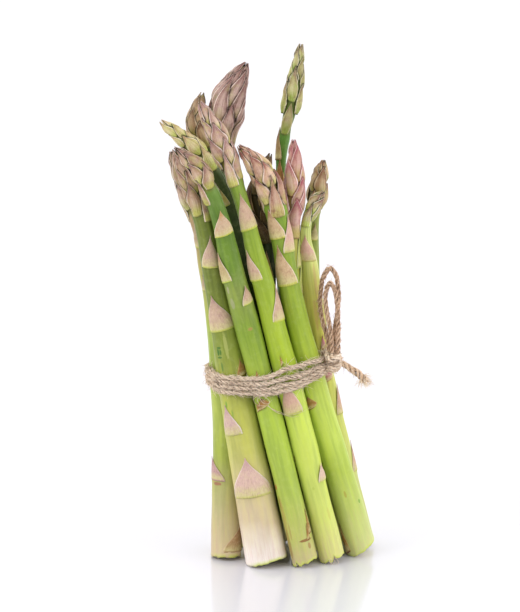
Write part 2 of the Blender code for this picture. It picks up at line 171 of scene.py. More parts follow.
class Finish:
    # one procedural material and short ways to add its nodes
    def __init__(self, name, roughness=0.5):
        self.material = bpy.data.materials.new(name)
        self.material.use_nodes = True
        self.tree = self.material.node_tree
        self.set(Roughness=roughness)

    def set(self, **values):
        shader = self.tree.nodes["Principled BSDF"]
        for key, value in values.items():
            feed(self.tree, shader.inputs[key.replace("_", " ")], value)

    def node(self, kind, **values):
        made = self.tree.nodes.new("ShaderNode" + kind)
        for key, value in values.items():
            feed(self.tree, made.inputs[key], value)
        return made.outputs

    def mark(self, name, output="Fac"):
        node = self.tree.nodes.new("ShaderNodeAttribute")
        node.attribute_name = name
        return node.outputs[output]

    def where(self):
        return self.node("TexCoord")["Object"]

    def stretch(self, vector, scale):
        return self.node("Mapping", Vector=vector, Scale=scale)["Vector"]

    def noise(self, vector, scale, detail=3.0, rough=0.55):
        return self.node("TexNoise", Vector=vector, Scale=scale, Detail=detail, Roughness=rough)["Fac"]

    def cells(self, vector, scale):
        return self.node("TexVoronoi", Vector=vector, Scale=scale)["Distance"]

    def ramp(self, source, stops):
        node = self.tree.nodes.new("ShaderNodeValToRGB")
        points = node.color_ramp.elements
        while len(points) > 1:
            points.remove(points[-1])
        points[0].position = stops[0][0]
        points[0].color = tint(stops[0][1])
        for place, code in stops[1:]:
            points.new(place).color = tint(code)
        feed(self.tree, node.inputs["Fac"], source)
        return node.outputs["Color"]

    def calc(self, operation, *values):
        return mathNode(self.tree, operation, *values)

    def mix(self, amount, a, b, blend="MIX"):
        node = self.tree.nodes.new("ShaderNodeMix")
        node.data_type = "RGBA"
        node.blend_type = blend
        for place, value in zip((0, 6, 7), (amount, a, b)):
            feed(self.tree, node.inputs[place], value)
        return node.outputs[2]

    def layer(self, colour, other, source, low, high, fromLow, fromHigh):
        # another colour over this one, as strong as the source says
        return self.mix(self.range(source, low, high, fromLow, fromHigh), colour, other)

    def vector(self, operation, value, other):
        node = self.tree.nodes.new("ShaderNodeVectorMath")
        node.operation = operation
        feed(self.tree, node.inputs[0], value)
        feed(self.tree, node.inputs[1], tuple(other))
        return node.outputs

    def grit(self, colour, scale, amount):
        # fine pale and dark grains
        grains = self.noise(self.where(), scale, 2, 0.7)
        colour = self.layer(colour, "#fff4e4", grains, 0.0, amount, 0.54, 0.74)
        return self.layer(colour, "#4a3426", grains, amount, 0.0, 0.28, 0.46)

    def range(self, source, low, high, fromLow=0.0, fromHigh=1.0):
        values = {"From Min": fromLow, "From Max": fromHigh, "To Min": low, "To Max": high}
        return self.node("MapRange", Value=source, **values)["Result"]

    def paint(self, colour, roughness=None, height=None, strength=0.4, distance=0.0002):
        self.set(Base_Color=colour)
        if roughness is not None:
            self.set(Roughness=roughness)
        if height is not None:
            bump = self.node("Bump", Strength=strength, Distance=distance, Height=height)
            self.set(Normal=bump["Normal"])
        return self.material


# the camera: where it looks, from how far and at what angle
view = dict(target=(-0.00374, 0.0007, 0.1016), distance=1.15, elevation=11.5, lens=169.1)


def setCamera():
    angle = math.radians(view["elevation"])
    back = Vector((0.0, -math.cos(angle), math.sin(angle)))
    data = bpy.data.cameras.new("Camera")
    data.lens = view["lens"]
    data.sensor_width = 36
    data.clip_start = 0.05
    camera = bpy.data.objects.new("Camera", data)
    camera.location = Vector(view["target"]) + back * view["distance"]
    camera.rotation_euler = (-back).to_track_quat("-Z", "Y").to_euler()
    bpy.context.scene.collection.objects.link(camera)
    bpy.context.scene.camera = camera


setCamera()
print("camera set")


# reading the solids of the frame
def readTube(node, isFirst=None):
    # the rings of a lofted solid, walked edge by edge from its first ring: centre and radius;
    # without a test for the first ring, the walk starts from an end that it finds itself
    mesh = nodes[node].data
    places, number, index = [], {}, []
    for vertex in mesh.vertices:
        key = tuple(round(c * 1e6) for c in vertex.co)
        if key not in number:
            number[key] = len(places)
            places.append(tuple(vertex.co))
        index.append(number[key])
    near = [set() for _ in places]
    for edge in mesh.edges:
        a, b = (index[v] for v in edge.vertices)
        near[a].add(b)
        near[b].add(a)
    places = np.array(places)

    def layers(start):
        seen = set(start)
        found = [sorted(start)]
        while True:
            following = {n for v in found[-1] for n in near[v]} - seen
            if not following:
                return found
            seen |= following
            found.append(sorted(following))

    if isFirst is None:
        firstRing = layers(layers([0])[-1])[-1]
        firstRing = layers(layers(firstRing)[-1])[-1]
    else:
        firstRing = [i for i, p in enumerate(places) if isFirst(p)]
    rows = []
    for ring in layers(firstRing):
        middle = places[ring].mean(axis=0)
        rows.append((*middle, np.linalg.norm(places[ring] - middle, axis=1).mean()))
    return np.array(rows)


# a spear's solid has thirteen rings up to its neck and the others in its head
reading = dict(floor=0.00005, perRing=16, spacing=0.0006, neckRings=13)


def readSpear(node):
    rings = readTube(node, lambda p: p[2] < reading["floor"])
    route = evenSteps(curveThrough(rings, reading["perRing"]), reading["spacing"])
    up = unit(np.gradient(route[:, :3], axis=0))
    ahead = np.array([0.0, -1.0, 0.0])
    front = unit(ahead - up * (up @ ahead)[:, None])
    neck = distanceAlong(curveThrough(rings[:reading["neckRings"]], reading["perRing"]))[-1]
    return dict(
        node=node, along=distanceAlong(route), mid=route[:, :3], girth=route[:, 3],
        up=up, front=front, side=np.cross(up, front), neck=neck,
    )


def along(spear, s, key):
    rows = spear[key]
    if rows.ndim == 1:
        return np.interp(s, spear["along"], rows)
    return np.stack([np.interp(s, spear["along"], column) for column in rows.T], axis=-1)


def alongAtHeight(spear, height):
    return float(np.interp(height, spear["mid"][:, 2], spear["along"]))


def onSpear(spear, s, angle, radius):
    # a point beside the spear's axis; angle 0 faces front and a quarter turn faces right
    way = np.cos(angle)[..., None] * along(spear, s, "front")
    way = way + np.sin(angle)[..., None] * along(spear, s, "side")
    return along(spear, s, "mid") + radius[..., None] * way


spears = {name: readSpear(name) for name in nodes if name.startswith("spear_")}
print("frame read:", len(spears), "spears")


# the twine: how its plies twist ("lay" is the length of one twist), how uneven they are, each as
# a pitch and a size, and its tints, each from dark to light
twine = dict(
    diameter=0.0019, plies=3, lay=0.0074, spacing=0.00042, sides=8, apart=0.27, ply=0.25,
    swell=(0.0030, 0.20), pit=(0.0011, 0.08), gape=(0.0045, 0.22), stagger=(0.008, 0.9),
    waver=(0.003, 0.35), taperLength=0.006, grainLength=0.0030, grainTurn=0.0021, shade="#5c3620",
    wound=("#9c5a34", "#ffe4c6", "#fff6e4"), loops=("#683c24", "#c0906a", "#f6dfc4"),
    tail=("#94603c", "#e2b88e", "#fdecd4"),
)
# the free ends keep the route of their solids, from the knot outwards
loopTall = (
    (0.02386, -0.0093, 0.0852), (0.02286, -0.0077, 0.091), (0.02106, -0.0059, 0.097),
    (0.02016, -0.0045, 0.103), (0.02046, -0.0039, 0.109), (0.02166, -0.0037, 0.1146),
    (0.02406, -0.0037, 0.1178), (0.02626, -0.0039, 0.1154), (0.02726, -0.0043, 0.110),
    (0.02736, -0.0049, 0.104), (0.02666, -0.0061, 0.097), (0.02606, -0.0077, 0.091),
    (0.02626, -0.0089, 0.0852),
)
loopShort = (
    (0.02486, -0.0117, 0.085), (0.02456, -0.0109, 0.091), (0.02366, -0.0097, 0.097),
    (0.02246, -0.0083, 0.103), (0.02246, -0.0071, 0.109), (0.02406, -0.0065, 0.1124),
    (0.02576, -0.0071, 0.110), (0.02686, -0.0081, 0.104), (0.02726, -0.0095, 0.0975),
    (0.02726, -0.0107, 0.091), (0.02726, -0.0113, 0.085),
)
tail = (
    (0.02886, -0.0101, 0.0804), (0.03086, -0.0103, 0.0794), (0.03346, -0.0105, 0.0778),
    (0.03606, -0.0107, 0.0758), (0.03826, -0.0109, 0.0734),
)


def juteFinish(name, dark, body, light):
    made = Finish(name, 0.9)
    grain = made.mark("grain", "Vector")
    strands = made.noise(grain, 3.4, 5, 0.75)
    patches = made.noise(made.where(), 420, 3)
    colour = made.ramp(strands, [(0.33, dark), (0.45, body), (0.58, light)])
    colour = made.layer(colour, dark, patches, 0.0, 0.42, 0.56, 0.76)
    # painted shade: the "depth" mark darkens the twine towards the shade tint between plies and turns
    colour = made.mix(made.mark("depth"), twine["shade"], colour)
    made.set(Sheen_Weight=0.28, Sheen_Roughness=0.5, Sheen_Tint="#ffd2ae", Specular_IOR_Level=0.2)
    return made.paint(colour, None, strands, 0.9, 0.0003)


jute = juteFinish("juteTwine", *twine["wound"])
juteFree = juteFinish("juteFreeEnds", *twine["loops"])
juteTail = juteFinish("juteTail", *twine["tail"])


def sweepFrames(route):
    # directions square to the route that turn no more than it does
    forward = unit(np.gradient(route, axis=0))
    start = np.array([0.0, 0.0, 1.0])
    if abs(forward[0] @ start) > 0.9:
        start = np.array([1.0, 0.0, 0.0])
    normals = np.empty_like(route)
    normal = unit(start - forward[0] * (forward[0] @ start))
    for i, way in enumerate(forward):
        normal = unit(normal - way * (way @ normal))
        normals[i] = normal
    return forward, normals, np.cross(forward, normals)


def plyStrands(route, diameter, seed, taper=0.0, loosen=0.0, parted=0.0):
    # the twisted plies of one length of twine, as points, faces, depth and grain, where "depth"
    # is painted shade: 1 where lit. Towards its end it may taper and come loose, and it may have
    # painted shade on its lower and upper sides, where the turns meet
    route = evenSteps(np.asarray(route, float), twine["spacing"])
    length = distanceAlong(route)
    normals, sides = sweepFrames(route)[1:]
    points, faces, depth, grain = [], [], [], []
    count = twine["sides"]
    ring = np.linspace(0, turn, count, endpoint=False)
    for ply in range(twine["plies"]):
        swell = 1 + wobble(seed * 7 + ply, length, *twine["swell"])
        swell = swell + wobble(seed * 9 + ply, length, *twine["pit"])
        apart = 1 + wobble(seed * 3 + ply, length, *twine["gape"])
        apart = twine["apart"] * (apart + loosen * (length / length[-1]) ** 2)
        ending = (length - length[-1] + twine["taperLength"]) / twine["taperLength"]
        thin = 1 - taper * np.clip(ending, 0, 1)
        phase = turn * (length / twine["lay"] + ply / twine["plies"])
        phase = phase + wobble(seed * 5, length, *twine["stagger"])
        phase = phase + wobble(seed * 11 + ply, length, *twine["waver"])
        out = np.cos(phase)[:, None] * normals + np.sin(phase)[:, None] * sides
        middle = route + out * (apart * diameter * thin)[:, None]
        way = unit(np.gradient(middle, axis=0))
        outward = unit(out - way * (out * way).sum(axis=1)[:, None])
        across = np.cross(way, outward)
        radius = twine["ply"] * diameter * swell * thin
        around = np.cos(ring)[None, :, None] * outward[:, None]
        around = around + np.sin(ring)[None, :, None] * across[:, None]
        block = middle[:, None] + radius[:, None, None] * around
        first = sum(len(b) for b in points)
        points.append(block.reshape(-1, 3))
        rings = len(route)
        faces += tubeFaces(rings, count, first)
        faces.append(tuple(reversed(range(first, first + count))))
        faces.append(tuple(range(first + (rings - 1) * count, first + rings * count)))
        # painted shade: each ply is darker where it turns in towards the other plies, and the cord may
        # be darker on its lower and upper sides, where the turns meet
        lit = (0.5 + 0.5 * np.cos(ring))[None, :] ** 0.75
        level = (block - route[:, None])[..., 2] / (0.5 * diameter)
        shadedSeams = np.clip((-level - 0.5) / 0.4, 0, 1) + 0.5 * np.clip((level - 0.7) / 0.3, 0, 1)
        depth.append((lit * (1 - parted * shadedSeams)).ravel())
        spin = ring[None, :] + (length / twine["grainTurn"])[:, None]
        lengthwise = np.broadcast_to((length / twine["grainLength"])[:, None], spin.shape) + ply * 9
        grain.append(np.stack([np.cos(spin), np.sin(spin), lengthwise], axis=-1).reshape(-1, 3))
    return np.vstack(points), faces, {"depth": np.concatenate(depth)}, np.vstack(grain)


# a loose hair: its lean along the twine and outwards, how it bends from one of its segments to
# the next, and its length and thickness as shares of the greatest
hair = dict(
    segments=5, lean=(0.4, 1.6), out=(0.35, 1.0), aside=0.8, curl=0.55, bend=0.35, jitter=0.12,
    reach=(0.25, 1.0), bias=1.6, thick=(0.6, 1.5), taper=0.8,
)


def fibres(route, perMillimetre, longest, seed, thickness=0.00005, stray=1.0, beside=0.42):
    # loose hairs: they leave the twine at an angle and curl, or with little stray they hug it
    rng = np.random.default_rng(seed)
    route = evenSteps(np.asarray(route, float), twine["spacing"])
    length = distanceAlong(route)
    forward, normals, sides = sweepFrames(route)
    points, faces = [], []
    for _ in range(int(length[-1] / mm * perMillimetre)):
        i = rng.integers(1, len(route) - 1)
        angle = rng.uniform(0, turn)
        out = math.cos(angle) * normals[i] + math.sin(angle) * sides[i]
        start = route[i] + out * twine["diameter"] * beside
        lean = rng.choice([-1, 1]) * rng.uniform(*hair["lean"])
        aside = np.cross(forward[i], out) * rng.uniform(-hair["aside"], hair["aside"]) * (1 - stray)
        way = unit(out * rng.uniform(*hair["out"]) * stray + forward[i] * lean + aside)
        curl = rng.normal(0, hair["curl"], 3) * (0.3 + 0.7 * stray) - out * 0.5 * (1 - stray)
        reach = longest * rng.uniform(*hair["reach"]) ** hair["bias"]
        line = [start]
        for _ in range(hair["segments"]):
            line.append(line[-1] + way * reach / hair["segments"])
            way = unit(way + curl * hair["bend"] + rng.normal(0, hair["jitter"], 3))
        addHair(points, faces, np.array(line), thickness * rng.uniform(*hair["thick"]))
    count = len(points)
    grain = np.zeros((count, 3)) + rng.uniform(0, 9, (count, 1))
    return np.array(points), faces, {"depth": np.full(count, 1.0)}, grain


def addHair(points, faces, line, thickness):
    # a thin three-sided hair along a line, finer towards its end
    forward = unit(np.gradient(line, axis=0))
    across = unit(np.cross(forward, [0.31, 0.52, 0.79]))
    third = np.cross(forward, across)
    first = len(points)
    for i, place in enumerate(line):
        radius = thickness * (1 - hair["taper"] * i / (len(line) - 1))
        for k in range(3):
            a = turn * k / 3
            points.append(place + radius * (math.cos(a) * across[i] + math.sin(a) * third[i]))
    faces += tubeFaces(len(line), 3, first)
    faces.append((first + 2, first + 1, first))
    last = first + (len(line) - 1) * 3
    faces.append((last, last + 1, last + 2))


# the winding: four turns that touch the stems, drawn together at the knot. "stray" says how far
# each stretch strays upwards: turns from the first end, and millimetres. Each row of "hairs" goes
# to fibres: how many to a millimetre, the longest, a seed, thickness, stray and how far out
winding = dict(
    inward=0.00055, diameter=0.00162, parted=0.7, turns=4,
    stray=(
        (0.02, 1.6), (0.067, 0.9), (0.113, 0.4), (0.16, 0.8), (0.213, 1.3), (0.26, 1.7), (0.30, 1.5),
        (0.40, 1.7), (1.02, 0.9), (1.067, 0.1), (1.113, -0.4), (1.16, 0.6), (1.213, 1.0), (1.26, 1.45),
        (1.30, 1.35), (1.40, 1.4), (2.02, -0.2), (2.067, -0.2), (2.113, -0.1), (2.16, 1.2),
        (2.213, 1.05), (2.26, 1.15), (2.30, 0.95), (2.40, 1.2), (3.02, -0.2), (3.067, 0.9),
        (3.113, 1.6), (3.16, 2.6), (3.213, 1.3), (3.26, 0.95), (3.30, 0.6), (3.40, 0.8), (3.99, -0.2),
    ),
    hairs=(
        (2.2, 0.0034, 11, 0.00008), (0.4, 0.0085, 12, 0.00008),
        (5.2, 0.0060, 13, 0.00013, 0.08, 0.45), (1.2, 0.0040, 14, 0.00010, 0.3, 0.47),
    ),
)


def windingRoute():
    rings = readTube("twine_winding")
    if rings[0, 2] > rings[-1, 2]:
        rings = rings[::-1]
    route = curveThrough(rings[:, :3], 5)
    middle = route[:, :2].mean(axis=0)
    away = unit(route[:, :2] - middle)
    route[:, :2] -= away * winding["inward"]
    turns = np.linspace(0, winding["turns"], len(route))
    places, heights = np.array(winding["stray"]).T
    route[:, 2] += np.interp(turns, places, heights) * mm
    return route


# long loose hairs that hang in front of the stems: points to the right and up, in millimetres
looseHairs = (
    ((-0.6, 66.0), (1.8, 63.8), (5.4, 61.7), (9.2, 61.9), (12.6, 62.9), (17.0, 63.8)),
    ((1.0, 64.6), (4.4, 62.6), (8.2, 61.0), (11.6, 61.4)),
    ((-5.6, 70.0), (-6.4, 67.4), (-4.6, 65.8), (-1.6, 66.2)),
    ((-4.2, 69.6), (-2.4, 67.0), (-0.4, 66.8), (1.0, 68.2)),
    ((-3.4, 70.0), (-4.8, 68.0), (-3.8, 65.8), (-5.4, 64.6)),
    ((-1.8, 69.6), (0.0, 67.6), (-0.8, 65.4)),
    ((23.8, 2.6), (24.4, 1.2), (25.2, 0.6), (25.8, 1.6)), ((24.6, 3.0), (24.9, 1.6), (24.4, 0.3)),
    ((25.4, 2.8), (26.2, 1.8), (26.0, 0.4)), ((26.4, 3.2), (27.2, 2.4), (27.6, 1.0), (26.8, 0.2)),
)


def frontOf(x, height):
    # how far forward the foremost stem reaches at a point of the front view
    best = 0.0
    for spear in spears.values():
        s = alongAtHeight(spear, height)
        middle = along(spear, s, "mid")
        radius = float(along(spear, s, "girth"))
        aside = x - middle[0]
        if abs(aside) < radius:
            best = min(best, middle[1] - math.sqrt(radius**2 - aside**2))
    return best


# how far a loose hair lies in front of the stems, its thickness and how much light it catches
looseHair = dict(ahead=0.0013, thickness=0.00016, lit=0.85)


def layLooseHairs():
    points, faces, grain = [], [], []
    for number, line in enumerate(looseHairs):
        flat = curveThrough(np.array([(x * mm, 0, z * mm) for x, z in line]), 6)
        depth = np.array([frontOf(x, z) for x, _, z in flat]) - looseHair["ahead"]
        for i in range(2, len(depth) - 2):  # a hair bridges the hollows between stems
            depth[i] = min(depth[i], 0.5 * (depth[i - 2] + depth[i + 2]))
        flat[:, 1] = depth
        addHair(points, faces, flat, looseHair["thickness"])
        grain += [(number * 1.7, 2.0, 0.4 * i) for i in range(len(points) - len(grain))]
    depth = np.full(len(points), looseHair["lit"])
    return np.array(points), faces, {"depth": depth}, np.array(grain)


def makeWinding():
    route = windingRoute()
    # the winding's plies have painted shade where its turns meet
    strands = plyStrands(route, winding["diameter"], 1, parted=winding["parted"])
    fit(makeJoined("twineWinding", [strands], jute), "jute_twine", "twine_winding")
    hairs = [fibres(route, *row) for row in winding["hairs"]]
    fit(makeJoined("twineWindingFibres", [*hairs, layLooseHairs()], jute), "jute_twine")
    return route


windingPath = makeWinding()
print("winding laid")


# the knot: an overhand lump of the same twine, its width and height in millimetres, and its loose
# hairs. Each strand passes once round it: how tall, wide and deep as shares of the knot, its tilt,
# spin and start as angles, and its shift in metres
knot = dict(
    diameter=0.0021, wide=4.9, tall=5.8, skin=0.0005, steps=40, ends=0.9, forward=0.0004,
    forwardWound=0.0006, hairs=4.5, longest=0.0042, fine=0.0001, stray=0.5,
    strands=(
        (0.95, 1.0, 1.0, 0.1, 0.35, 0.3, (0, 0, 0)),
        (-0.7, 0.95, 1.15, -0.2, 0.2, 1.2, (0, 0, 0.0009)),
        (0.35, 0.9, 1.1, 0.3, 0.6, 2.2, (0, 0, -0.0008)),
        (0.40, 0.95, 1.9, -0.1, 0.4, 0.6, (-0.0006, -0.0010, 0.0034)),
    ),
)


def knotRing(centre, tall, wide, deep, tilt, spin, start):
    # one strand passing round the knot, as a tilted oval
    line = []
    for t in np.linspace(0, 1, knot["steps"]):
        a = start + turn * t
        p = Vector((wide * math.cos(a), deep * math.sin(a), tall * math.sin(a + spin)))
        p.rotate(Vector((0, 1, 0)).rotation_difference(Vector((math.sin(tilt), math.cos(tilt), 0))))
        line.append((centre[0] + p.x, centre[1] + p.y, centre[2] + p.z))
    return line


def makeKnot():
    low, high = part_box("twine_knot")
    centre = (low + high) / 2
    wide, tall = knot["wide"] * mm / 2, knot["tall"] * mm / 2
    deep = (high - low).y / 2 - knot["skin"]
    lines = [
        knotRing(centre + Vector(shift), tall * up, wide * out, deep * thick, *turns)
        for up, out, thick, *turns, shift in knot["strands"]
    ]
    # short lengths from inside the lump to the free ends, and to the two ends of the winding
    for end in (loopTall[0], loopTall[-1], loopShort[0], loopShort[-1], tail[0]):
        halfway = (centre + Vector(end)) / 2 + Vector((0, -knot["forward"], 0))
        lines.append([tuple(centre), tuple(halfway), end])
    for end in (windingPath[2], windingPath[-3]):
        halfway = (centre * 0.4 + Vector(end) * 0.6) + Vector((0, -knot["forwardWound"], 0))
        lines.append([tuple(centre), tuple(halfway), tuple(end)])
    routes = [curveThrough(line, 12) for line in lines]
    strands, hairs = [], []
    for i, route in enumerate(routes):
        share = 1.0 if i < len(knot["strands"]) else knot["ends"]
        strands.append(plyStrands(route, knot["diameter"] * share, 40 + i))
        hairs.append(
            fibres(route, knot["hairs"], knot["longest"], 60 + i, knot["fine"], knot["stray"])
        )
    fit(makeJoined("twineKnot", strands, jute), "jute_twine", "twine_knot")
    fit(makeJoined("twineKnotFibres", hairs, jute), "jute_twine")


# the tail comes loose along its length and ends in a frayed tuft of fine hairs
fray = dict(
    diameter=0.0025, taper=0.35, loosen=1.7, tuft=170, spread=0.60, back=0.002, scatter=0.00035,
    shortest=0.0004, longest=0.0012, curl=0.16, droop=-0.03, thickness=0.00010,
    hairs=((6, 0.0045, 22), (6, 0.006, 23, 0.00011, 0.25, 0.5)),
)


def tailTuft(route):
    rng = np.random.default_rng(21)
    points, faces = [], []
    end = route[-1]
    way = unit(route[-1] - route[-6])
    for _ in range(fray["tuft"]):
        spread = unit(way + rng.normal(0, fray["spread"], 3))
        line = [end - way * fray["back"] + rng.normal(0, fray["scatter"], 3)]
        for _ in range(6):
            line.append(line[-1] + spread * rng.uniform(fray["shortest"], fray["longest"]))
            spread = unit(spread + rng.normal(0, fray["curl"], 3) + np.array([0, 0, fray["droop"]]))
        addHair(points, faces, np.array(line), fray["thickness"])
    count = len(points)
    return np.array(points), faces, {"depth": np.full(count, 1.0)}, np.full((count, 3), 4.0)


def makeTail():
    route = curveThrough(tail, 8)
    strands = plyStrands(route, fray["diameter"], 5, taper=fray["taper"], loosen=fray["loosen"])
    piece = makeJoined("twineTail", [strands], juteTail)
    fit(piece, "jute_twine", "twine_tail")
    hairs = [fibres(route, *row) for row in fray["hairs"]]
    fuzz = makeJoined("twineTailTuft", [tailTuft(route), *hairs], juteTail)
    fit(fuzz, "jute_twine")
    return [piece, fuzz]


# a loop: how loose its plies lie, and its hairs as for the winding, with seeds counted from its own
loop = dict(loosen=0.25, hairs=((2.4, 0.0026, 50, 0.00007), (4.0, 0.0045, 70, 0.00012, 0.08, 0.45)))


def makeLoop(name, node, points, seed, extra=()):
    route = curveThrough(points, 8)
    strands = plyStrands(route, twine["diameter"], seed, loosen=loop["loosen"])
    piece = makeJoined(name, [strands], juteFree)
    fit(piece, "jute_twine", node)
    hairs = [
        fibres(route, many, longest, seed + own, *others)
        for many, longest, own, *others in loop["hairs"]
    ]
    fuzz = makeJoined(name + "Fibres", hairs, juteFree)
    fit(fuzz, "jute_twine")


makeKnot()
makeLoop("twineLoopTall", "twine_loop_tall", loopTall, 2)
makeLoop("twineLoopShort", "twine_loop_short", loopShort, 3, makeTail())
print("knot, loops and tail tied")


# skin colours by height in millimetres, from the cut end up
stemSkin = {
    "spear_front_stout": (
        (2, "#f4e9e2"), (20, "#cfbc9a"), (34, "#cbbe86"), (46, "#bcba66"), (62, "#b1b456"),
        (88, "#87943c"), (112, "#6e7a34"),
    ),
    "spear_front_left": (
        (1, "#c6b98a"), (12, "#b6bc68"), (30, "#a9bd52"), (60, "#a8c04a"), (78, "#9bb143"),
        (94, "#829c36"), (112, "#87964a"), (122, "#6f8c34"), (140, "#5e7c2e"), (152, "#688638"),
    ),
    "spear_front_middle": (
        (1, "#d9d68c"), (20, "#ccd770"), (50, "#c4d560"), (70, "#c4d95c"), (84, "#a3ba36"),
        (100, "#a3b93a"), (118, "#94ab36"), (145, "#80983a"),
    ),
    "spear_front_right": (
        (2, "#cfd58e"), (20, "#bccb6c"), (36, "#b1c553"), (50, "#bfd35c"), (68, "#bccf58"),
        (84, "#a9bd40"), (96, "#97ad38"), (115, "#8ba038"), (128, "#849c38"), (142, "#7c9a34"),
    ),
    "spear_left": (
        (2, "#cdb996"), (22, "#b9b27c"), (44, "#a0ac4e"), (62, "#adba58"), (88, "#9aac50"),
        (115, "#a8a45c"), (135, "#b0936e"),
    ),
    "spear_right": (
        (2, "#d2cf9a"), (25, "#c2c878"), (60, "#c4c864"), (84, "#d2cf66"), (104, "#d6d36c"),
        (120, "#ccd078"), (138, "#bcc878"),
    ),
    "spear_pink_tip": (
        (2, "#cfc88e"), (30, "#b3bd5e"), (80, "#a0a745"), (120, "#a3a648"), (135, "#b0a85c"),
    ),
    "spear_yellow_tip": (
        (2, "#c7c489"), (30, "#8fa24c"), (80, "#55652c"), (120, "#37471d"), (145, "#44542a"),
    ),
    "spear_inner": (
        (2, "#c7c489"), (30, "#8fa24c"), (80, "#4a5a26"), (120, "#33401c"), (140, "#3a3c20"),
    ),
    "spear_back_left": (
        (2, "#d4caa0"), (25, "#bcc06c"), (60, "#a3b24c"), (110, "#7f9440"), (150, "#4a6028"),
    ),
    "spear_back_tall": (
        (2, "#d2cc98"), (25, "#b9c468"), (60, "#9db04a"), (110, "#6b8636"), (150, "#567f2e"),
        (168, "#55802e"),
    ),
    "spear_back_purple": (
        (2, "#dcd0b0"), (25, "#c2c279"), (60, "#a9b553"), (110, "#7f9040"), (165, "#8d8a50"),
    ),
    "spear_back_right": (
        (2, "#d2cc98"), (25, "#b7c166"), (60, "#9db04a"), (110, "#8a9c44"), (140, "#8f9550"),
    ),
}
# small marks on the skin: height in millimetres, facing in degrees, half length, half width,
# colour and strength
skinSpots = {
    "spear_front_stout": (
        (86.5, -42, 1.6, 0.6, "#3f6f2c", 0.9), (88.3, -37, 0.5, 1.1, "#3f6f2c", 0.8),
        (84.4, -38, 0.5, 1.2, "#3f6f2c", 0.8), (86.4, -31, 1.3, 0.5, "#3f6f2c", 0.8),
        (80.5, -34, 2.2, 0.5, "#4f7a36", 0.7), (89.0, -3, 6.0, 0.8, "#b4b96a", 0.6),
        (65.5, -40, 1.5, 0.5, "#5d9a36", 0.7), (61.5, -22, 1.9, 0.4, "#6f9c3c", 0.6),
    ),
    "spear_front_left": (
        (96.0, 14, 0.7, 1.1, "#b08d52", 0.7), (107.0, -38, 2.5, 1.1, "#a8a486", 0.5),
        (112.5, -46, 1.6, 0.8, "#b3ab8c", 0.5), (10.5, 30, 0.7, 3.0, "#8a5a34", 0.85),
        (8.0, 40, 1.4, 0.8, "#a37c48", 0.7), (33.0, -62, 1.3, 0.9, "#b0683c", 0.9),
        (21.0, -52, 9.0, 1.3, "#b39a54", 0.55), (10.0, -56, 7.0, 1.2, "#96703a", 0.6),
        (27.0, -58, 3.0, 0.6, "#946a34", 0.6), (15.0, -34, 4.0, 0.5, "#a98c4c", 0.5),
    ),
    "spear_front_middle": (
        (44.0, -64, 2.0, 0.5, "#8a7a2c", 0.6), (31.5, -4, 0.8, 0.5, "#b0c050", 0.5),
        (20.0, 40, 3.0, 0.7, "#c9c15e", 0.5),
    ),
    "spear_front_right": (
        (27.0, 4, 1.6, 0.5, "#b09a3c", 0.6), (22.0, 58, 1.0, 0.7, "#5f9a2c", 0.7),
        (10.0, -62, 7.0, 1.2, "#8f7038", 0.7),
    ),
    "spear_right": ((98.0, 10, 7.0, 0.8, "#c9a566", 0.5), (112.0, 30, 8.0, 0.8, "#c4a070", 0.45)),
    "spear_left": ((34.5, -60, 5.0, 0.8, "#c9983c", 0.6), (29.8, -40, 0.8, 2.2, "#a05a50", 0.7)),
}
# how each spear is cut: slant in millimetres and the facing it rises towards, how ragged, and
# the facing of a torn notch, or 0 for none
cuts = {
    "spear_front_stout": (1.6, 70, 0.5, 0),
    "spear_front_left": (2.0, 95, 0.9, -38),
    "spear_front_middle": (1.6, 90, 1.0, 12),
    "spear_front_right": (4.2, 92, 0.35, 0),
    "spear_left": (0.4, 40, 0.6, 0),
    "others": (0.8, 120, 1.0, 0),
}
# the stem's mesh and skin: ridges that wander and lumps, then the cut end: how torn and notched
# its rim is, how far up that shows, the rings of its face, and the green line round it
stem = dict(
    sides=64, spacing=0.0011, short=0.0024, coreShare=0.66, coreBlend=0.006, shadeFrom=0.0015,
    ridge=0.00007, ripples=((2, 1.6), (3, 1.0), (5, 0.7), (9, 0.6), (13, 0.45)), wander=0.05,
    smoothHead=0.7, lump=(0.012, 0.00016), torn=(0.22, 0.9), nick=(0.07, 0.5), hollow=(0.3, 0.0002),
    fade=0.0035, fadeSlant=1.6, notchDeep=2.4, notchWide=0.10, lipHigh=0.0012, lipShade=0.95,
    cap=((0.96, 0.0001), (0.82, 0.0005), (0.6, 0.0004), (0.36, 0.0006), (0.12, 0.0005)),
    lip="#cfdc5e", blush="#cf9f92", colourHeight=0.2,
)


def spotOn(made, colour, spear, spot):
    # a small coloured mark on the skin, at a height and facing, with soft uneven edges
    height, facing, long, wide, code, strength = spot
    s = alongAtHeight(spear, height * mm)
    radius = along(spear, s, "girth")
    place = onSpear(spear, s, np.array(math.radians(facing)), np.array(radius))
    across = np.cos(math.radians(facing)) * along(spear, s, "side")
    across = across - np.sin(math.radians(facing)) * along(spear, s, "front")
    beside = made.vector("SUBTRACT", made.where(), place)[0]
    flat = []
    for way, size in ((along(spear, s, "up"), long), (across, wide)):
        off = made.vector("DOT_PRODUCT", beside, way / (size * mm))["Value"]
        flat.append(made.calc("POWER", made.calc("ABSOLUTE", off), 2.0))
    uneven = made.range(made.noise(made.where(), 900, 3), -0.5, 0.5)
    reach = made.calc("ADD", made.calc("ADD", flat[0], flat[1]), uneven)
    outward = cosineOut(made, spear, s, facing)
    amount = made.calc("MULTIPLY", made.range(reach, strength, 0.0, 0.55, 1.0), outward)
    return made.mix(amount, colour, code)


def cosineOut(made, spear, s, facing):
    # 1 on the side of the spear that faces this way and 0 behind it
    way = math.cos(math.radians(facing)) * along(spear, s, "front")
    way = way + math.sin(math.radians(facing)) * along(spear, s, "side")
    normal = made.node("NewGeometry")["Normal"]
    return made.range(made.vector("DOT_PRODUCT", normal, way)["Value"], 0.0, 1.0, 0.0, 0.3)


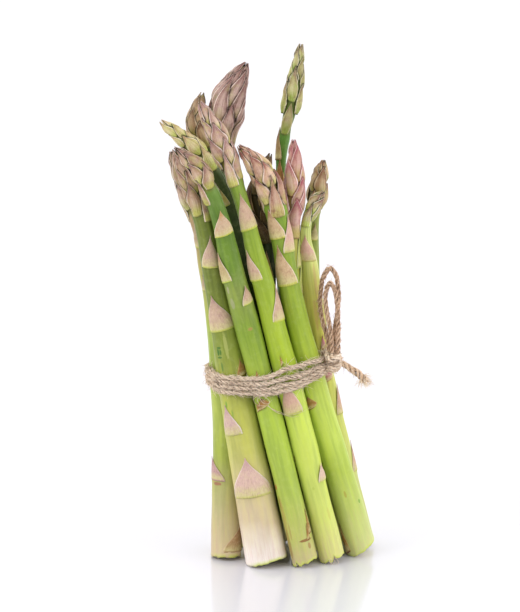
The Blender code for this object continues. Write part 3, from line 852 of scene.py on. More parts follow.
def stemFinish(name):
    made = Finish("skin_" + name, 0.4)
    rise = made.mark("rise")
    grain = made.mark("grain", "Vector")
    stops = [(height * mm / stem["colourHeight"], code) for height, code in stemSkin[name]]
    patches = made.noise(made.where(), 85, 4, 0.6)
    shifted = made.calc("ADD", rise, made.range(patches, -0.03, 0.03))
    colour = made.ramp(shifted, stops)
    # lighter and darker streaks run along the stem, fewer of them near the foot
    streaks = made.noise(made.stretch(grain, (1.0, 1.0, 0.05)), 9.0, 4, 0.65)
    broad = made.noise(made.stretch(grain, (1.0, 1.0, 0.09)), 2.6, 3, 0.6)
    lighter = made.mix(1.0, colour, "#e6ea9a", "SOFT_LIGHT")
    darker = made.mix(1.0, colour, "#7d9a52", "MULTIPLY")
    calm = made.range(rise, 0.35, 1.0, 0.06, 0.24)
    colour = made.layer(colour, lighter, broad, 0.0, 0.40, 0.45, 0.75)
    shadows = made.calc("MULTIPLY", calm, made.range(broad, 0.26, 0.0, 0.25, 0.52))
    colour = made.mix(shadows, colour, darker)
    colour = made.layer(colour, lighter, streaks, 0.0, 0.12, 0.55, 0.85)
    fine = made.calc("MULTIPLY", calm, made.range(streaks, 0.10, 0.0, 0.15, 0.42))
    colour = made.mix(fine, colour, darker)
    blotch = made.noise(made.where(), 420, 3, 0.6)
    colour = made.layer(colour, "#dfe3a4", blotch, 0.0, 0.10, 0.5, 0.8)
    specks = made.cells(made.where(), 900)
    colour = made.layer(colour, "#8a8a4a", specks, 0.22, 0.0, 0.0, 0.14)
    # the pale foot shows pink and tan fibres
    foot = made.range(rise, 1.0, 0.0, 0.02, 0.2)
    fibre = made.noise(made.stretch(grain, (1.0, 1.0, 0.03)), 14.0, 5, 0.7)
    blush = made.calc("MULTIPLY", foot, made.range(fibre, 0.0, 0.42, 0.47, 0.72))
    colour = made.mix(blush, colour, stem["blush"])
    for spot in skinSpots.get(name, ()):
        colour = spotOn(made, colour, spears[name], spot)
    # within the head the bare spear is in the shade of its bracts
    bractFoot, gap = headTints[name][0], headTints[name][-1]
    colour = made.mix(made.mark("inHead"), colour, made.mix(0.35, gap, bractFoot))
    # a fresh green line round the cut, then the cut face
    colour = made.mix(made.mark("lip"), colour, stem["lip"])
    dots = made.cells(made.where(), 1500)
    flesh = made.ramp(dots, [(0.0, "#b9a877"), (0.35, "#d8cc9f"), (0.8, "#ebe3c3")])
    colour = made.mix(made.mark("cut"), colour, flesh)
    rough = made.range(streaks, 0.34, 0.5)
    made.set(Specular_IOR_Level=0.24, Coat_Weight=0.05, Coat_Roughness=0.3)
    height = made.calc("ADD", streaks, made.calc("MULTIPLY", blotch, 0.6))
    return made.paint(colour, rough, height, 0.35, 0.00012)


# the bump under a leaf's foot: how far out, how far below and how long, and how wide beyond the
# leaf; then how far the stem is drawn in under the leaf, and over what length that fades
bump = dict(out=0.00022, below=0.0003, long=0.0011, wider=0.25, sink=0.00012, low=0.002, high=0.004)


def leafBumps(spear, s, angle):
    # the stem swells a little where a leaf grows from it, and lies flatter under the leaf
    push = np.zeros(np.broadcast(s, angle).shape)
    for start, length, facing, half in spear["leaves"]:
        near = np.exp(-((halfTurn(angle - facing) / (half + bump["wider"])) ** 4))
        push += bump["out"] * near * np.exp(-((s - start + bump["below"]) / bump["long"]) ** 2)
        sink = bump["sink"] * near * np.clip((s - start) / bump["low"], 0, 1)
        push -= sink * np.clip((start + length - s) / bump["high"], 0, 1)
    return push


def skinGrid(spear, seed, s, angle):
    # the skin's distance from the axis: ridges that wander round the stem, lumps, and leaf bumps
    head = np.clip((s - spear["neck"]) / stem["coreBlend"], 0, 1)
    ripple = sum(
        np.cos(k * angle[None, :] + turn * wobble(seed + k, s, stem["wander"])[:, None]) * weight
        for k, weight in stem["ripples"]
    )
    ripple = stem["ridge"] * ripple * (1 - stem["smoothHead"] * head)[:, None]
    grid = coreRadius(spear, s)[:, None] + ripple
    grid += wobble(seed + 99, s, *stem["lump"])[:, None]
    return grid + leafBumps(spear, s[:, None], angle[None, :])


def cutLift(name, seed, s, angle):
    # how far the rim of the cut end is lifted: its slant, its ragged edge and a torn notch
    slant, facing, ragged, notch = cuts.get(name, cuts["others"])
    torn = np.abs(wobble(seed + 5, angle, *stem["torn"]))
    torn = torn + np.abs(wobble(seed + 6, angle, *stem["nick"]))
    rag = ragged * torn * mm
    rag = rag + slant * mm * (0.5 + 0.5 * np.cos(angle - math.radians(facing)))
    if notch:
        off = halfTurn(angle - math.radians(notch))
        rag = rag + stem["notchDeep"] * mm * np.exp(-(off / stem["notchWide"]) ** 2)
    fade = np.clip(1 - s / (stem["fade"] + stem["fadeSlant"] * slant * mm), 0, 1)[:, None]
    return rag[None, :] * fade


def cutFace(rim, seed, angle):
    # the slightly hollow face of the cut end, as rings from the rim inwards
    centre = rim.mean(axis=0)
    rings = []
    for share, lift in stem["cap"]:
        ring = centre + (rim - centre) * share
        ring[:, 2] = rim[:, 2] * share + lift + wobble(seed + 8, angle + share, *stem["hollow"])
        rings.append(np.maximum(ring, [-9, -9, 0.0]))
    return rings


def makeStem(name):
    spear = spears[name]
    sides = stem["sides"]
    seed = sum(map(ord, name))
    full = spear["along"][-1]
    s = np.linspace(0, full - stem["short"], int(full / stem["spacing"]))
    angle = np.linspace(0, turn, sides, endpoint=False)
    grid = skinGrid(spear, seed, s, angle)
    sGrid = np.broadcast_to(s[:, None], grid.shape)
    aGrid = np.broadcast_to(angle[None, :], grid.shape)
    points = onSpear(spear, sGrid, aGrid, grid)
    points += cutLift(name, seed, s, angle)[..., None] * along(spear, s, "up")[:, None]
    points[..., 2] = np.maximum(points[..., 2], 0.0)
    cap = cutFace(points[0], seed, angle)
    block = np.vstack([*cap[::-1], *points])
    count = len(cap) + len(s)
    faces = tubeFaces(count, sides)
    faces.append(tuple(reversed(range(sides))))
    faces.append(tuple(range((count - 1) * sides, count * sides)))
    none = np.zeros(len(cap))
    head = np.clip((s - spear["neck"]) / stem["shadeFrom"] - 1, 0, 1)
    lip = stem["lipShade"] * np.clip(1.4 - s / stem["lipHigh"], 0, 1)[:, None]
    lip = lip * np.clip(1.0 + wobble(seed + 12, angle, 0.5), 0, 1)[None, :]
    marks = dict(
        rise=block[:, 2] / stem["colourHeight"],
        cut=np.repeat([1.0] * len(cap) + [0.0] * len(s), sides),
        inHead=np.repeat(np.concatenate([none, head]), sides),
        lip=np.concatenate([np.repeat(none, sides), lip.ravel()]),
    )
    around = np.tile(angle, count)
    lengths = np.repeat(np.concatenate([none, s]), sides)
    grain = np.stack([np.cos(around), np.sin(around), lengths / 0.005 + seed], axis=-1)
    piece = makePiece("stem" + partName(name), block, faces, stemFinish(name), marks, {"grain": grain})
    fit(piece, "green_spear", name)


# tints of a leaf: its foot line, body, tip and papery rim
leafTints = {
    "spear_front_stout": ("#c3c95a", "#c6a592", "#ac8682", "#ead8cb"),
    "spear_front_left": ("#c3cd50", "#c4a38c", "#a67c6e", "#e6d6c8"),
    "spear_front_middle": ("#c6d04c", "#c8a590", "#ac8074", "#e6d5c6"),
    "spear_front_right": ("#c9cc58", "#caa886", "#8e5e44", "#e4d2ba"),
    "spear_left": ("#b9c04a", "#b0967a", "#9a7f70", "#ddccbc"),
    "spear_right": ("#c6c268", "#c9a08c", "#a87a66", "#e6cfc0"),
    "spear_pink_tip": ("#c2c256", "#cf9f93", "#b5807a", "#ecd3cb"),
    "spear_yellow_tip": ("#b9c044", "#c1b25e", "#b09a66", "#e2dba8"),
    "spear_inner": ("#9aa03c", "#b08f55", "#8a6038", "#cdb98c"),
    "spear_back_left": ("#b3b84e", "#a98970", "#8d6c58", "#d6c2b0"),
    "spear_back_tall": ("#b6bf48", "#a98a68", "#a5785a", "#dcd2b4"),
    "spear_back_purple": ("#b3a868", "#ab8878", "#8f6c62", "#d2bcb0"),
    "spear_back_right": ("#b3b84e", "#a3956a", "#93785a", "#d3c8a6"),
}
# leaves that differ from their spear's own
leafSpecial = {
    "scale_front_stout_1": dict(tints=("#cbc873", "#d9b6ab", "#c59aa0", "#ecdcd4")),
    "scale_front_stout_2": dict(tints=("#c9c878", "#cfafa4", "#b98f9c", "#efe2dc"), twist=-0.15),
    "scale_front_stout_3": dict(twist=-0.3, wide=1.22, aside=0.12),
    "scale_front_stout_4": dict(twist=0.5, wide=1.1),
    "scale_front_left_2": dict(tints=("#b9cc4c", "#bba676", "#a87a68", "#e6d6c2")),
    "scale_front_left_3": dict(tints=("#c6cc4e", "#c9aa90", "#bf8850", "#ecdcc4"), twist=0.3),
    "scale_front_middle_1": dict(tints=("#cbd06c", "#dcbcae", "#cda59c", "#f0dfd6")),
    "scale_front_middle_2": dict(
        tints=("#c3cc58", "#d2a797", "#b98f82", "#e6cfc2"), longer=0.0085, wide=0.8,
    ),
    "scale_front_middle_3": dict(twist=0.35),
    "scale_front_right_1": dict(twist=-0.25),
    "scale_front_right_2": dict(
        tints=("#c6cc62", "#d6ac9c", "#c08c86", "#f0dcd0"), wide=1.15, aside=-0.2,
    ),
    "scale_back_tall_4": dict(
        tints=("#8a7a44", "#9c7c54", "#6b4a30", "#cdb48c"), wide=1.3, aside=0.35, longer=0.003,
    ),
    "scale_left_1": dict(tints=("#b79a6c", "#b08a62", "#8f6240", "#d4bc98"), twist=0.5),
    "scale_left_2": dict(tints=("#b58a86", "#b98f92", "#a06f80", "#dcc6c0"), twist=-0.4),
    "scale_right_3": dict(tints=("#c6c268", "#d3a497", "#bd8a7c", "#ead2c6"), wide=1.5, aside=-0.35),
}
# a leaf's mesh, how much thinner its edges and tip are, the least radius it wraps and the most it
# wraps as an angle, and how it lies on the stem, in metres
leaf = dict(
    rows=22, columns=17, thickness=0.00032, thinEdge=0.55, thinTip=0.45, tuck=0.0009, hug=0.0004,
    leastWide=0.02, ruffle=0.03, wrap=2.6, tipGap=0.0003, tone=0.25, twist=0.1, keelWide=0.12,
    dip=0.0002, slant=0.0011, dome=0.00012, off=0.00012, rise=0.00022, keel=0.00008, curl=0.0002,
)


def leafFinish(name, tints):
    foot, body, tip, rim = tints
    made = Finish("leaf_" + name, 0.55)
    up = made.mark("up")
    side = made.mark("side")
    grain = made.mark("grain", "Vector")
    mottle = made.noise(made.where(), 330, 4, 0.6)
    height = made.calc("ADD", up, made.range(mottle, -0.14, 0.14))
    cream = made.mix(0.45, body, "#d2cc84")
    upper = made.ramp(height, [(0.10, "#d0c68c"), (0.34, body), (0.60, body), (0.86, tip)])
    colour = made.mix(made.range(up, 0.0, 1.0, 0.030, 0.075), foot, made.mix(0.22, upper, cream))
    patches = made.noise(made.where(), 700, 3, 0.6)
    colour = made.layer(colour, tip, patches, 0.0, 0.5, 0.50, 0.75)
    colour = made.layer(colour, "#cfc491", patches, 0.4, 0.0, 0.25, 0.48)
    veins = made.noise(made.stretch(grain, (1.0, 1.0, 0.16)), 11.0, 4, 0.7)
    deeper = made.mix(1.0, colour, "#b09080", "MULTIPLY")
    colour = made.layer(colour, deeper, veins, 0.5, 0.0, 0.25, 0.5)
    colour = made.layer(colour, rim, veins, 0.0, 0.3, 0.55, 0.8)
    colour = made.grit(colour, 1300, 0.11)
    edge = made.calc("ABSOLUTE", side)
    colour = made.layer(colour, rim, edge, 0.0, 0.8, 0.86, 0.98)
    made.set(Specular_IOR_Level=0.22, Sheen_Weight=0.04)
    return made.paint(colour, made.range(veins, 0.45, 0.68), veins, 0.5, 0.00015)


def ogee(t):
    # 1 to 0 by way of a round shoulder and a hollow side, which leaves a fine point
    return 0.55 * 0.5 * (1 + np.cos(math.pi * t)) + 0.45 * (1 - t)


def leafOutline(up):
    # half width of a stem leaf at each share of its length: wide at its foot, drawn to a point
    return ogee(np.clip((up - 0.10) / 0.90, 0, 1))


def bractOutline(up):
    # half width of a head's bract: a round foot, widest low down, then a point
    low = 0.70 + 0.30 * np.sin(0.5 * math.pi * np.clip(up / 0.32, 0, 1))
    fall = np.clip((up - 0.32) / 0.68, 0, 1)
    return low * (0.45 * ogee(fall) + 0.55 * (1 - fall**1.5))


def coreRadius(spear, s):
    # the bare spear's radius: within the head it is thinner, to leave room for the bracts
    inHead = np.clip((s - spear["neck"]) / stem["coreBlend"], 0, 1)
    return along(spear, s, "girth") * (1 - (1 - stem["coreShare"]) * inHead)


def halfWidth(spec, share):
    # half of a blade's width at a share of its length
    return np.maximum(spec["outline"](share), leaf["leastWide"]) * spec["half"]


def hugRadius(spear, spec, s):
    # the radius on which a blade wraps its spear
    return np.maximum(coreRadius(spear, s) + spec["hug"], leaf["tuck"])


def bladePlace(spear, spec):
    # the grid of a leaf or bract on its spear: distance along it and angle round it
    up = np.linspace(0, 1, leaf["rows"])[:, None]
    side = np.linspace(-1, 1, leaf["columns"])[None, :]
    ruffle = leaf["ruffle"] * wobble(spec["seed"], up * 9 + 3 * np.sign(side), 1.0) * np.abs(side)
    s = spec["start"] + up * spec["length"] - spec["dip"] * (1 - side**2) * (1 - up) ** 2
    s = s + spec["slant"] * side * (1 - up)
    s = np.minimum(s, spear["along"][-1] - leaf["tipGap"])
    wrapped = (side + ruffle) * halfWidth(spec, up) / hugRadius(spear, spec, s)
    angle = spec["facing"] + np.clip(wrapped, -leaf["wrap"], leaf["wrap"]) + spec["twist"] * up
    thick = leaf["thickness"] * (1 - leaf["thinEdge"] * np.abs(side) ** 3) * (1 - leaf["thinTip"] * up)
    return up, side, s, angle, thick


def blade(spear, spec):
    # one closed, thin, pointed leaf or bract at its lift above the core
    rows, columns = leaf["rows"], leaf["columns"]
    up, side, s, angle, thick = bladePlace(spear, spec)
    core = coreRadius(spear, s)
    outer = onSpear(spear, s, angle, core + spec["lift"] + thick)
    inner = onSpear(spear, s, angle, core + spec["lift"])
    points = np.vstack([outer.reshape(-1, 3), inner.reshape(-1, 3)])
    shift = rows * columns
    faces = []
    for i in range(rows - 1):
        for j in range(columns - 1):
            a = i * columns + j
            faces.append((a, a + 1, a + columns + 1, a + columns))
            faces.append((a + shift + columns, a + shift + columns + 1, a + shift + 1, a + shift))
    rim = list(range(columns))
    rim += [i * columns + columns - 1 for i in range(1, rows)]
    rim += [(rows - 1) * columns + j for j in range(columns - 2, -1, -1)]
    rim += [i * columns for i in range(rows - 2, 0, -1)]
    for a, b in zip(rim, rim[1:] + rim[:1]):
        faces.append((b, a, a + shift, b + shift))
    upAll = np.broadcast_to(up, s.shape).reshape(-1)
    sideAll = np.broadcast_to(side, s.shape).reshape(-1)
    grain = np.stack([sideAll * 1.4 + spec["seed"], 0 * sideAll, upAll * 2.0], axis=-1)
    # a head's bracts carry painted shade in "deep"; leaves have none
    deep = spec.get("deep", np.zeros(s.shape))
    marks = dict(
        up=np.tile(upAll, 2), side=np.tile(sideAll, 2), tone=np.full(shift * 2, spec["tone"]),
        deep=np.tile(deep.reshape(-1), 2),
    )
    return points, faces, marks, np.tile(grain, (2, 1))


def spearOf(node):
    # the spear that a leaf node grows on: "scale_front_left_2" on "spear_front_left"
    return "spear_" + node[len("scale_"):].rsplit("_", 1)[0]


def readLeaf(node):
    # where a leaf solid sits on its spear: start, length, facing and half width as an angle
    spear = spears[spearOf(node)]
    places = np.array([v.co for v in nodes[node].data.vertices], float)
    margin = 0.0003
    start = alongAtHeight(spear, places[:, 2].min() + margin)
    end = alongAtHeight(spear, places[:, 2].max() - margin)
    s = np.array([alongAtHeight(spear, p[2]) for p in places])
    away = places - along(spear, s, "mid")
    rightwards = (away * along(spear, s, "side")).sum(1)
    angle = np.arctan2(rightwards, (away * along(spear, s, "front")).sum(1))
    facing = math.atan2(np.sin(angle).sum(), np.cos(angle).sum())
    return start, end - start, facing, float(np.abs(halfTurn(angle - facing)).max())


leafPlaces = {node: readLeaf(node) for node in sorted(nodes) if node.startswith("scale_")}
for spearName, spear in spears.items():
    spear["leaves"] = [place for node, place in leafPlaces.items() if spearOf(node) == spearName]


def stemLeaf(node, seed):
    # one thin leaf in the place of its solid
    start, length, facing, halfAngle = leafPlaces[node]
    spear = spears[spearOf(node)]
    rng = np.random.default_rng(seed)
    special = leafSpecial.get(node, {})
    spec = dict(
        outline=leafOutline, start=start, length=length + special.get("longer", 0),
        facing=facing + special.get("aside", 0), hug=leaf["hug"], dip=leaf["dip"],
        half=halfAngle * special.get("wide", 1) * (float(along(spear, start, "girth")) + leaf["hug"]),
        slant=leaf["slant"] * (rng.random() - 0.5), tone=leaf["tone"] * rng.random(), seed=seed,
        twist=special.get("twist", leaf["twist"] * (rng.random() - 0.5)),
    )
    up, side = bladePlace(spear, spec)[:2]
    swell = (1 - side**2) * np.sin(math.pi * np.clip(up * 0.9 + 0.08, 0, 1)) ** 0.8
    keel = np.exp(-((side / leaf["keelWide"]) ** 2)) * (1 - up)
    curl = leaf["curl"] * rng.random() * np.clip((up - 0.75) / 0.25, 0, 1) ** 1.5
    lift = leaf["off"] + leaf["rise"] * up**1.3 + leaf["dome"] * swell + leaf["keel"] * keel
    spec["lift"] = lift + curl
    return spear, spec


def makeStemLeaves():
    finishes = {}
    for number, node in enumerate(leafPlaces):
        tints = leafSpecial.get(node, {}).get("tints", leafTints[spearOf(node)])
        if tints not in finishes:
            finishes[tints] = leafFinish(partName(node), tints)
        shape = blade(*stemLeaf(node, 200 + number))
        piece = makeJoined("leaf" + partName(node), [shape], finishes[tints])
        fit(piece, "scale_leaf", node)


# small dry scales and torn bits that lie on the stems, by kind: tints as for a leaf, then rows of
# a seed, the spear, height and length in millimetres, facing in degrees and half width
bits = {
    "Brown": (("#86592e", "#a8763c", "#6e4426", "#c9a468"), (
        (700, "spear_front_stout", 76.0, 6.6, 44, 3.0), (701, "spear_front_left", 76.0, 4.2, -14, 0.9),
        (702, "spear_front_right", 63.6, 5.0, -32, 2.9), (703, "spear_front_left", 64.8, 4.0, -16, 2.8),
        (704, "spear_front_left", 64.0, 3.2, -44, 1.2), (705, "spear_front_left", 13.0, 9.5, 62, 1.0),
        (706, "spear_front_right", 3.0, 11.0, -52, 1.7), (707, "spear_front_left", 11.0, 6.0, 44, 0.8),
        (711, "spear_front_middle", 82.0, 4.0, -6, 0.6), (712, "spear_back_tall", 146.0, 14.0, -14, 3.4),
        (713, "spear_back_tall", 142.0, 13.0, 20, 3.0),
    )),
    "Pink": (("#c2a05c", "#c47a8c", "#a83a66", "#eac6c6"), (
        (708, "spear_right", 84.5, 5.4, 27, 1.2), (709, "spear_right", 71.5, 6.5, 30, 2.0),
        (710, "spear_right", 73.0, 4.0, 4, 1.0),
    )),
    "Fresh": (("#a9b650", "#b0bb58", "#b2ae64", "#d8dca0"), (
        (714, "spear_right", 110.0, 16.0, -84, 2.6), (715, "spear_right", 122.0, 12.0, -80, 2.6),
        (716, "spear_pink_tip", 106.0, 17.0, 82, 2.6), (717, "spear_pink_tip", 118.0, 14.0, 78, 2.6),
    )),
}


# a bit's slant, tone, twist and curl, and from which width for its length it is round
bitShape = dict(slant=0.0008, tone=0.2, twist=0.3, curl=0.0005, broad=0.55)


def bit(seed, spearName, height, long, facing, half):
    # one loose bit: round when it is broad for its length, else pointed
    spear = spears[spearName]
    rng = np.random.default_rng(seed)
    spec = dict(
        outline=bractOutline if half > long * bitShape["broad"] else leafOutline, seed=seed,
        start=alongAtHeight(spear, height * mm), length=long * mm, facing=math.radians(facing),
        hug=leaf["hug"], dip=leaf["dip"], half=half * mm, slant=bitShape["slant"],
        tone=bitShape["tone"], twist=bitShape["twist"] * (rng.random() - 0.5),
    )
    up, side = bladePlace(spear, spec)[:2]
    curl = bitShape["curl"] * rng.random() * up**2
    spec["lift"] = leaf["off"] + curl + leaf["dome"] * (1 - side**2)
    return blade(spear, spec)


def makeBits():
    for kind, (tints, rows) in bits.items():
        shapes = [bit(*row) for row in rows]
        fit(makeJoined("bits" + kind, shapes, leafFinish("bits" + kind, tints)), "scale_leaf")


# bracts on view, low to high: start above the neck, length, facing, twist and half width, in
# millimetres and degrees; "fill" is the spiral of the others: how many, their length and half
# width low and high, and the first one's facing and start
heads = {
    "spear_front_right": dict(fill=(22, 12.5, 8.0, 3.8, 2.3, -30, -4), bracts=(
        (-3.4, 16.6, 4, 22, 3.5), (0.3, 13.5, 88, 0, 3.8), (2.7, 12.3, -45, -5, 3.9),
        (9.4, 9.4, 20, 26, 2.9), (11.2, 12.6, -8, 20, 3.0), (13.6, 12.0, 92, 0, 3.0),
        (16.0, 11.4, -84, 40, 2.7), (18.4, 8.5, 48, 20, 2.3), (19.6, 8.0, -20, 20, 2.1),
    )),
    "spear_pink_tip": dict(fill=(18, 14.0, 9.0, 3.6, 2.3, 20, -1), bracts=(
        (-1.6, 16.4, 50, -34, 4.2), (6.5, 14.8, 74, 0, 3.2), (5.0, 13.0, -60, 0, 3.2),
        (10.4, 12.6, 35, 20, 3.2), (15.5, 14.5, -15, -34, 3.0), (21.5, 15.2, 15, 32, 3.0),
        (22.3, 14.4, -81, 50, 2.4),
    )),
    "spear_right": dict(fill=(11, 8.0, 6.0, 2.6, 1.8, 0, -3), bracts=(
        (-4.0, 9.5, -14, 0, 2.6), (-1.5, 11.0, 78, -3, 2.6), (1.0, 9.0, 24, 10, 2.2),
        (2.4, 8.2, -50, 40, 2.1), (6.2, 5.6, -80, 50, 1.8),
    )),
    "spear_back_right": dict(fill=(18, 10.0, 7.0, 2.8, 2.0, 40, -2), bracts=(
        (-1.0, 11.0, -24, 0, 2.8), (2.0, 11.0, 62, 0, 2.6), (8.0, 11.5, 22, -15, 2.6),
        (9.2, 9.6, -45, 0, 2.5), (14.0, 7.5, 62, 0, 2.0), (15.5, 7.0, 0, 0, 1.8),
    )),
    "spear_inner": dict(fill=(24, 13.0, 9.0, 3.2, 2.2, 60, -2), bracts=(
        (-2.0, 14.0, -10, -20, 3.0), (6.0, 14.0, -60, 0, 2.9), (13.0, 12.0, 40, 0, 2.8),
        (18.0, 12.0, -30, 10, 2.6), (25.0, 10.0, -70, 10, 2.3), (27.0, 10.5, 30, 0, 2.1),
    )),
    "spear_yellow_tip": dict(fill=(16, 11.0, 8.0, 3.2, 2.1, 0, -2), bracts=(
        (1.7, 10.5, 27, 20, 2.6), (3.0, 11.5, -44, 0, 2.8), (9.8, 10.2, 0, 18, 2.8),
        (12.5, 8.5, 42, 30, 2.4), (17.0, 7.6, -60, -10, 2.4), (18.2, 8.0, 42, 12, 2.3),
        (21.8, 8.6, -24, -30, 2.1), (22.1, 8.4, 92, -40, 2.0),
    )),
    "spear_left": dict(fill=(13, 14.0, 10.0, 3.2, 2.2, 120, -3), bracts=(
        (3.0, 14.0, 62, 0, 2.8), (4.8, 11.5, -48, 12, 2.9), (12.3, 16.2, 6, 6, 3.0),
    )),
    "spear_front_stout": dict(fill=(15, 12.5, 9.0, 3.2, 2.1, 60, -3), bracts=(
        (0.2, 13.4, -24, 22, 3.2), (4.5, 11.0, -84, 10, 2.8), (9.0, 9.5, 46, -30, 2.3),
        (14.4, 11.2, 30, -50, 2.5),
    )),
    "spear_front_left": dict(fill=(18, 10.5, 8.0, 3.0, 2.0, 150, -2), bracts=(
        (-3.1, 11.5, -70, 30, 3.0), (3.2, 9.4, 21, 36, 3.0), (6.2, 10.0, -24, 6, 2.7),
        (11.3, 8.6, 33, -6, 2.3), (12.8, 10.2, 66, -40, 2.1), (14.0, 8.8, -30, 24, 2.2),
    )),
    "spear_front_middle": dict(fill=(24, 12.5, 9.0, 3.2, 2.2, 150, -3), bracts=(
        (-2.4, 13.8, -24, 26, 3.1), (4.9, 11.6, 39, -9, 3.1), (8.2, 10.6, -38, -12, 2.9),
        (11.8, 11.8, 0, 15, 3.0), (13.9, 10.5, 62, 26, 2.7), (15.7, 9.9, 93, 0, 2.7),
        (16.3, 10.6, -30, -21, 2.5), (19.3, 10.3, 42, 6, 2.3), (23.2, 9.4, -76, -6, 2.1),
        (23.8, 9.6, -12, 26, 2.0),
    )),
    "spear_back_purple": dict(fill=(48, 17.0, 12.0, 2.4, 1.9, 150, -3), bracts=(
        (2.2, 15.0, 6, 10, 2.5), (5.0, 17.0, 62, 4, 2.4), (7.0, 19.0, -14, -12, 2.4),
        (9.0, 20.0, 36, 14, 2.6), (10.2, 18.0, -40, 4, 2.4), (13.0, 17.0, 66, 6, 2.3),
        (13.6, 15.0, -68, 6, 2.3), (14.5, 14.0, -94, 0, 2.3), (14.5, 17.0, 4, 16, 2.3),
        (18.1, 14.0, -46, 32, 2.2), (20.0, 12.6, 46, 8, 2.2), (21.6, 11.5, -10, 30, 2.1),
    )),
    "spear_back_left": dict(fill=(17, 10.0, 7.0, 2.8, 2.0, 120, -2), bracts=(
        (3.0, 12.0, 26, 0, 2.8), (4.5, 11.0, -72, 0, 2.7), (8.8, 10.8, -32, 0, 2.4),
        (10.5, 10.0, 30, 0, 2.4), (12.5, 9.0, -84, 6, 2.2), (16.0, 8.0, -50, 20, 2.0),
        (18.2, 7.5, 0, 10, 2.0), (19.5, 6.0, -70, 40, 1.8),
    )),
    "spear_back_tall": dict(fill=(13, 9.0, 7.0, 2.1, 1.6, 150, 15), bracts=(
        (2.7, 13.0, -4, 0, 2.3), (10.6, 12.6, -76, 6, 2.1), (11.4, 12.0, 66, -6, 2.1),
        (16.0, 12.6, -12, -6, 2.3), (20.6, 10.5, 80, 0, 2.0), (22.4, 10.4, -84, 0, 1.9),
        (24.8, 9.4, 36, 8, 1.9), (28.0, 9.0, -52, 10, 1.8), (30.0, 8.6, 0, 0, 1.7),
    )),
}
# tints of a head's bracts: foot, body, tip, rim, and the painted shade in the gaps between them
headTints = {
    "spear_front_right": ("#c6be66", "#cea688", "#96584c", "#f0dac6", "#34220f"),
    "spear_pink_tip": ("#c6b868", "#cfa290", "#b2606a", "#f8e0d6", "#7c403a"),
    "spear_right": ("#c2d45c", "#c2ac7c", "#8c5e52", "#f4ecd0", "#2c3810"),
    "spear_back_right": ("#c8c878", "#c8a87c", "#9c6e50", "#f4e8c4", "#3a2a14"),
    "spear_inner": ("#6a5a2e", "#755634", "#4a3620", "#b4986a", "#1a1408"),
    "spear_yellow_tip": ("#cad66a", "#d6ca8c", "#bc9a70", "#faf0cc", "#2a2c0c"),
    "spear_left": ("#c0c074", "#bc9e82", "#9c7c72", "#f0e4d0", "#4c4420"),
    "spear_front_stout": ("#bfc05c", "#b89674", "#946e62", "#eedcc2", "#343010"),
    "spear_front_left": ("#bcbc58", "#b28e70", "#8e6660", "#ead4bc", "#28260e"),
    "spear_front_middle": ("#c8c464", "#c4a086", "#a07472", "#f2e0d2", "#33280f"),
    "spear_back_purple": ("#b0a46e", "#b8968a", "#84564e", "#f2dacc", "#3a241e"),
    "spear_back_left": ("#a8a454", "#b4946c", "#7c5a40", "#e6d2ae", "#1c1608"),
    "spear_back_tall": ("#a2b84e", "#b6b06c", "#8c6e50", "#f0e8c0", "#142008"),
}
# how bracts are laid: the spiral, a grid over the core that keeps what lies on it, the shape of
# each bract as shares of the room it has, the shade beside and under others, and how freely the
# spiral's bracts are scattered; "closing" gives start below the tip, length and half width
bract = dict(
    goldenTurn=137.5, step=0.00025, turns=96, gap=0.00005, foot=0.25, shoulder=0.30, edge=0.62,
    swell=0.00022, least=0.00035, cavityReach=4, cavityDepth=0.0004, halo=0.00045, haloShade=0.95,
    hug=0.0006, dip=0.0004, reachUp=0.80, squeeze=0.97, packing=1.12, nearAlong=5, nearRound=50,
    scatter=5, sizes=(0.92, 1.08), closing=(6.2, 6.0, 1.5), most=0.5, droop=0.12, tipGap=0.0002,
    slant=0.0006, tone=0.35, pointed=-2,
)


def headFinish(name):
    foot, body, tip, rim, gap = headTints[name]
    made = Finish("bracts_" + name, 0.55)
    up = made.mark("up")
    edge = made.calc("ABSOLUTE", made.mark("side"))
    grain = made.mark("grain", "Vector")
    mottle = made.noise(made.where(), 420, 4, 0.6)
    height = made.calc("ADD", up, made.range(mottle, -0.13, 0.13))
    height = made.calc("ADD", height, made.range(edge, -0.08, 0.14))
    colour = made.ramp(height, [(0.12, foot), (0.42, body), (0.60, body), (0.86, tip)])
    patches = made.noise(made.where(), 300, 3, 0.6)
    colour = made.layer(colour, foot, patches, 0.0, 0.7, 0.53, 0.70)
    colour = made.layer(colour, tip, patches, 0.8, 0.0, 0.28, 0.46)
    veins = made.noise(made.stretch(grain, (1.0, 1.0, 0.10)), 7.0, 4, 0.75)
    deeper = made.mix(1.0, colour, "#8a645c", "MULTIPLY")
    colour = made.layer(colour, deeper, veins, 0.9, 0.0, 0.30, 0.47)
    colour = made.layer(colour, rim, veins, 0.0, 0.75, 0.53, 0.72)
    colour = made.grit(colour, 1300, 0.14)
    # a painted highlight, pale, where each bract swells, and a pale line along its edge
    paintedHighlight = made.range(up, 0.0, 1.0, 0.15, 0.40)
    paintedHighlight = made.calc("MULTIPLY", paintedHighlight, made.range(up, 1.0, 0.0, 0.45, 0.85))
    paintedHighlight = made.calc("MULTIPLY", paintedHighlight, made.range(edge, 0.34, 0.0, 0.05, 0.5))
    colour = made.mix(paintedHighlight, colour, rim)
    colour = made.layer(colour, rim, edge, 0.0, 1.0, 0.80, 0.92)
    colour = made.mix(made.mark("tone"), colour, made.mix(1.0, colour, tip, "MULTIPLY"))
    # painted shade: the "deep" mark, broken by noise, darkens bracts to the gap tint where they lie
    # under others, in creases and beside the edges of those above
    broken = made.range(made.noise(made.where(), 520, 3), 0.35, 1.25, 0.3, 0.6)
    deep = made.calc("MINIMUM", made.calc("MULTIPLY", made.mark("deep"), broken), 1.0)
    colour = made.mix(deep, colour, gap)
    made.set(Specular_IOR_Level=0.28, Sheen_Weight=0.03)
    return made.paint(colour, made.range(veins, 0.40, 0.62), veins, 0.6, 0.0002)


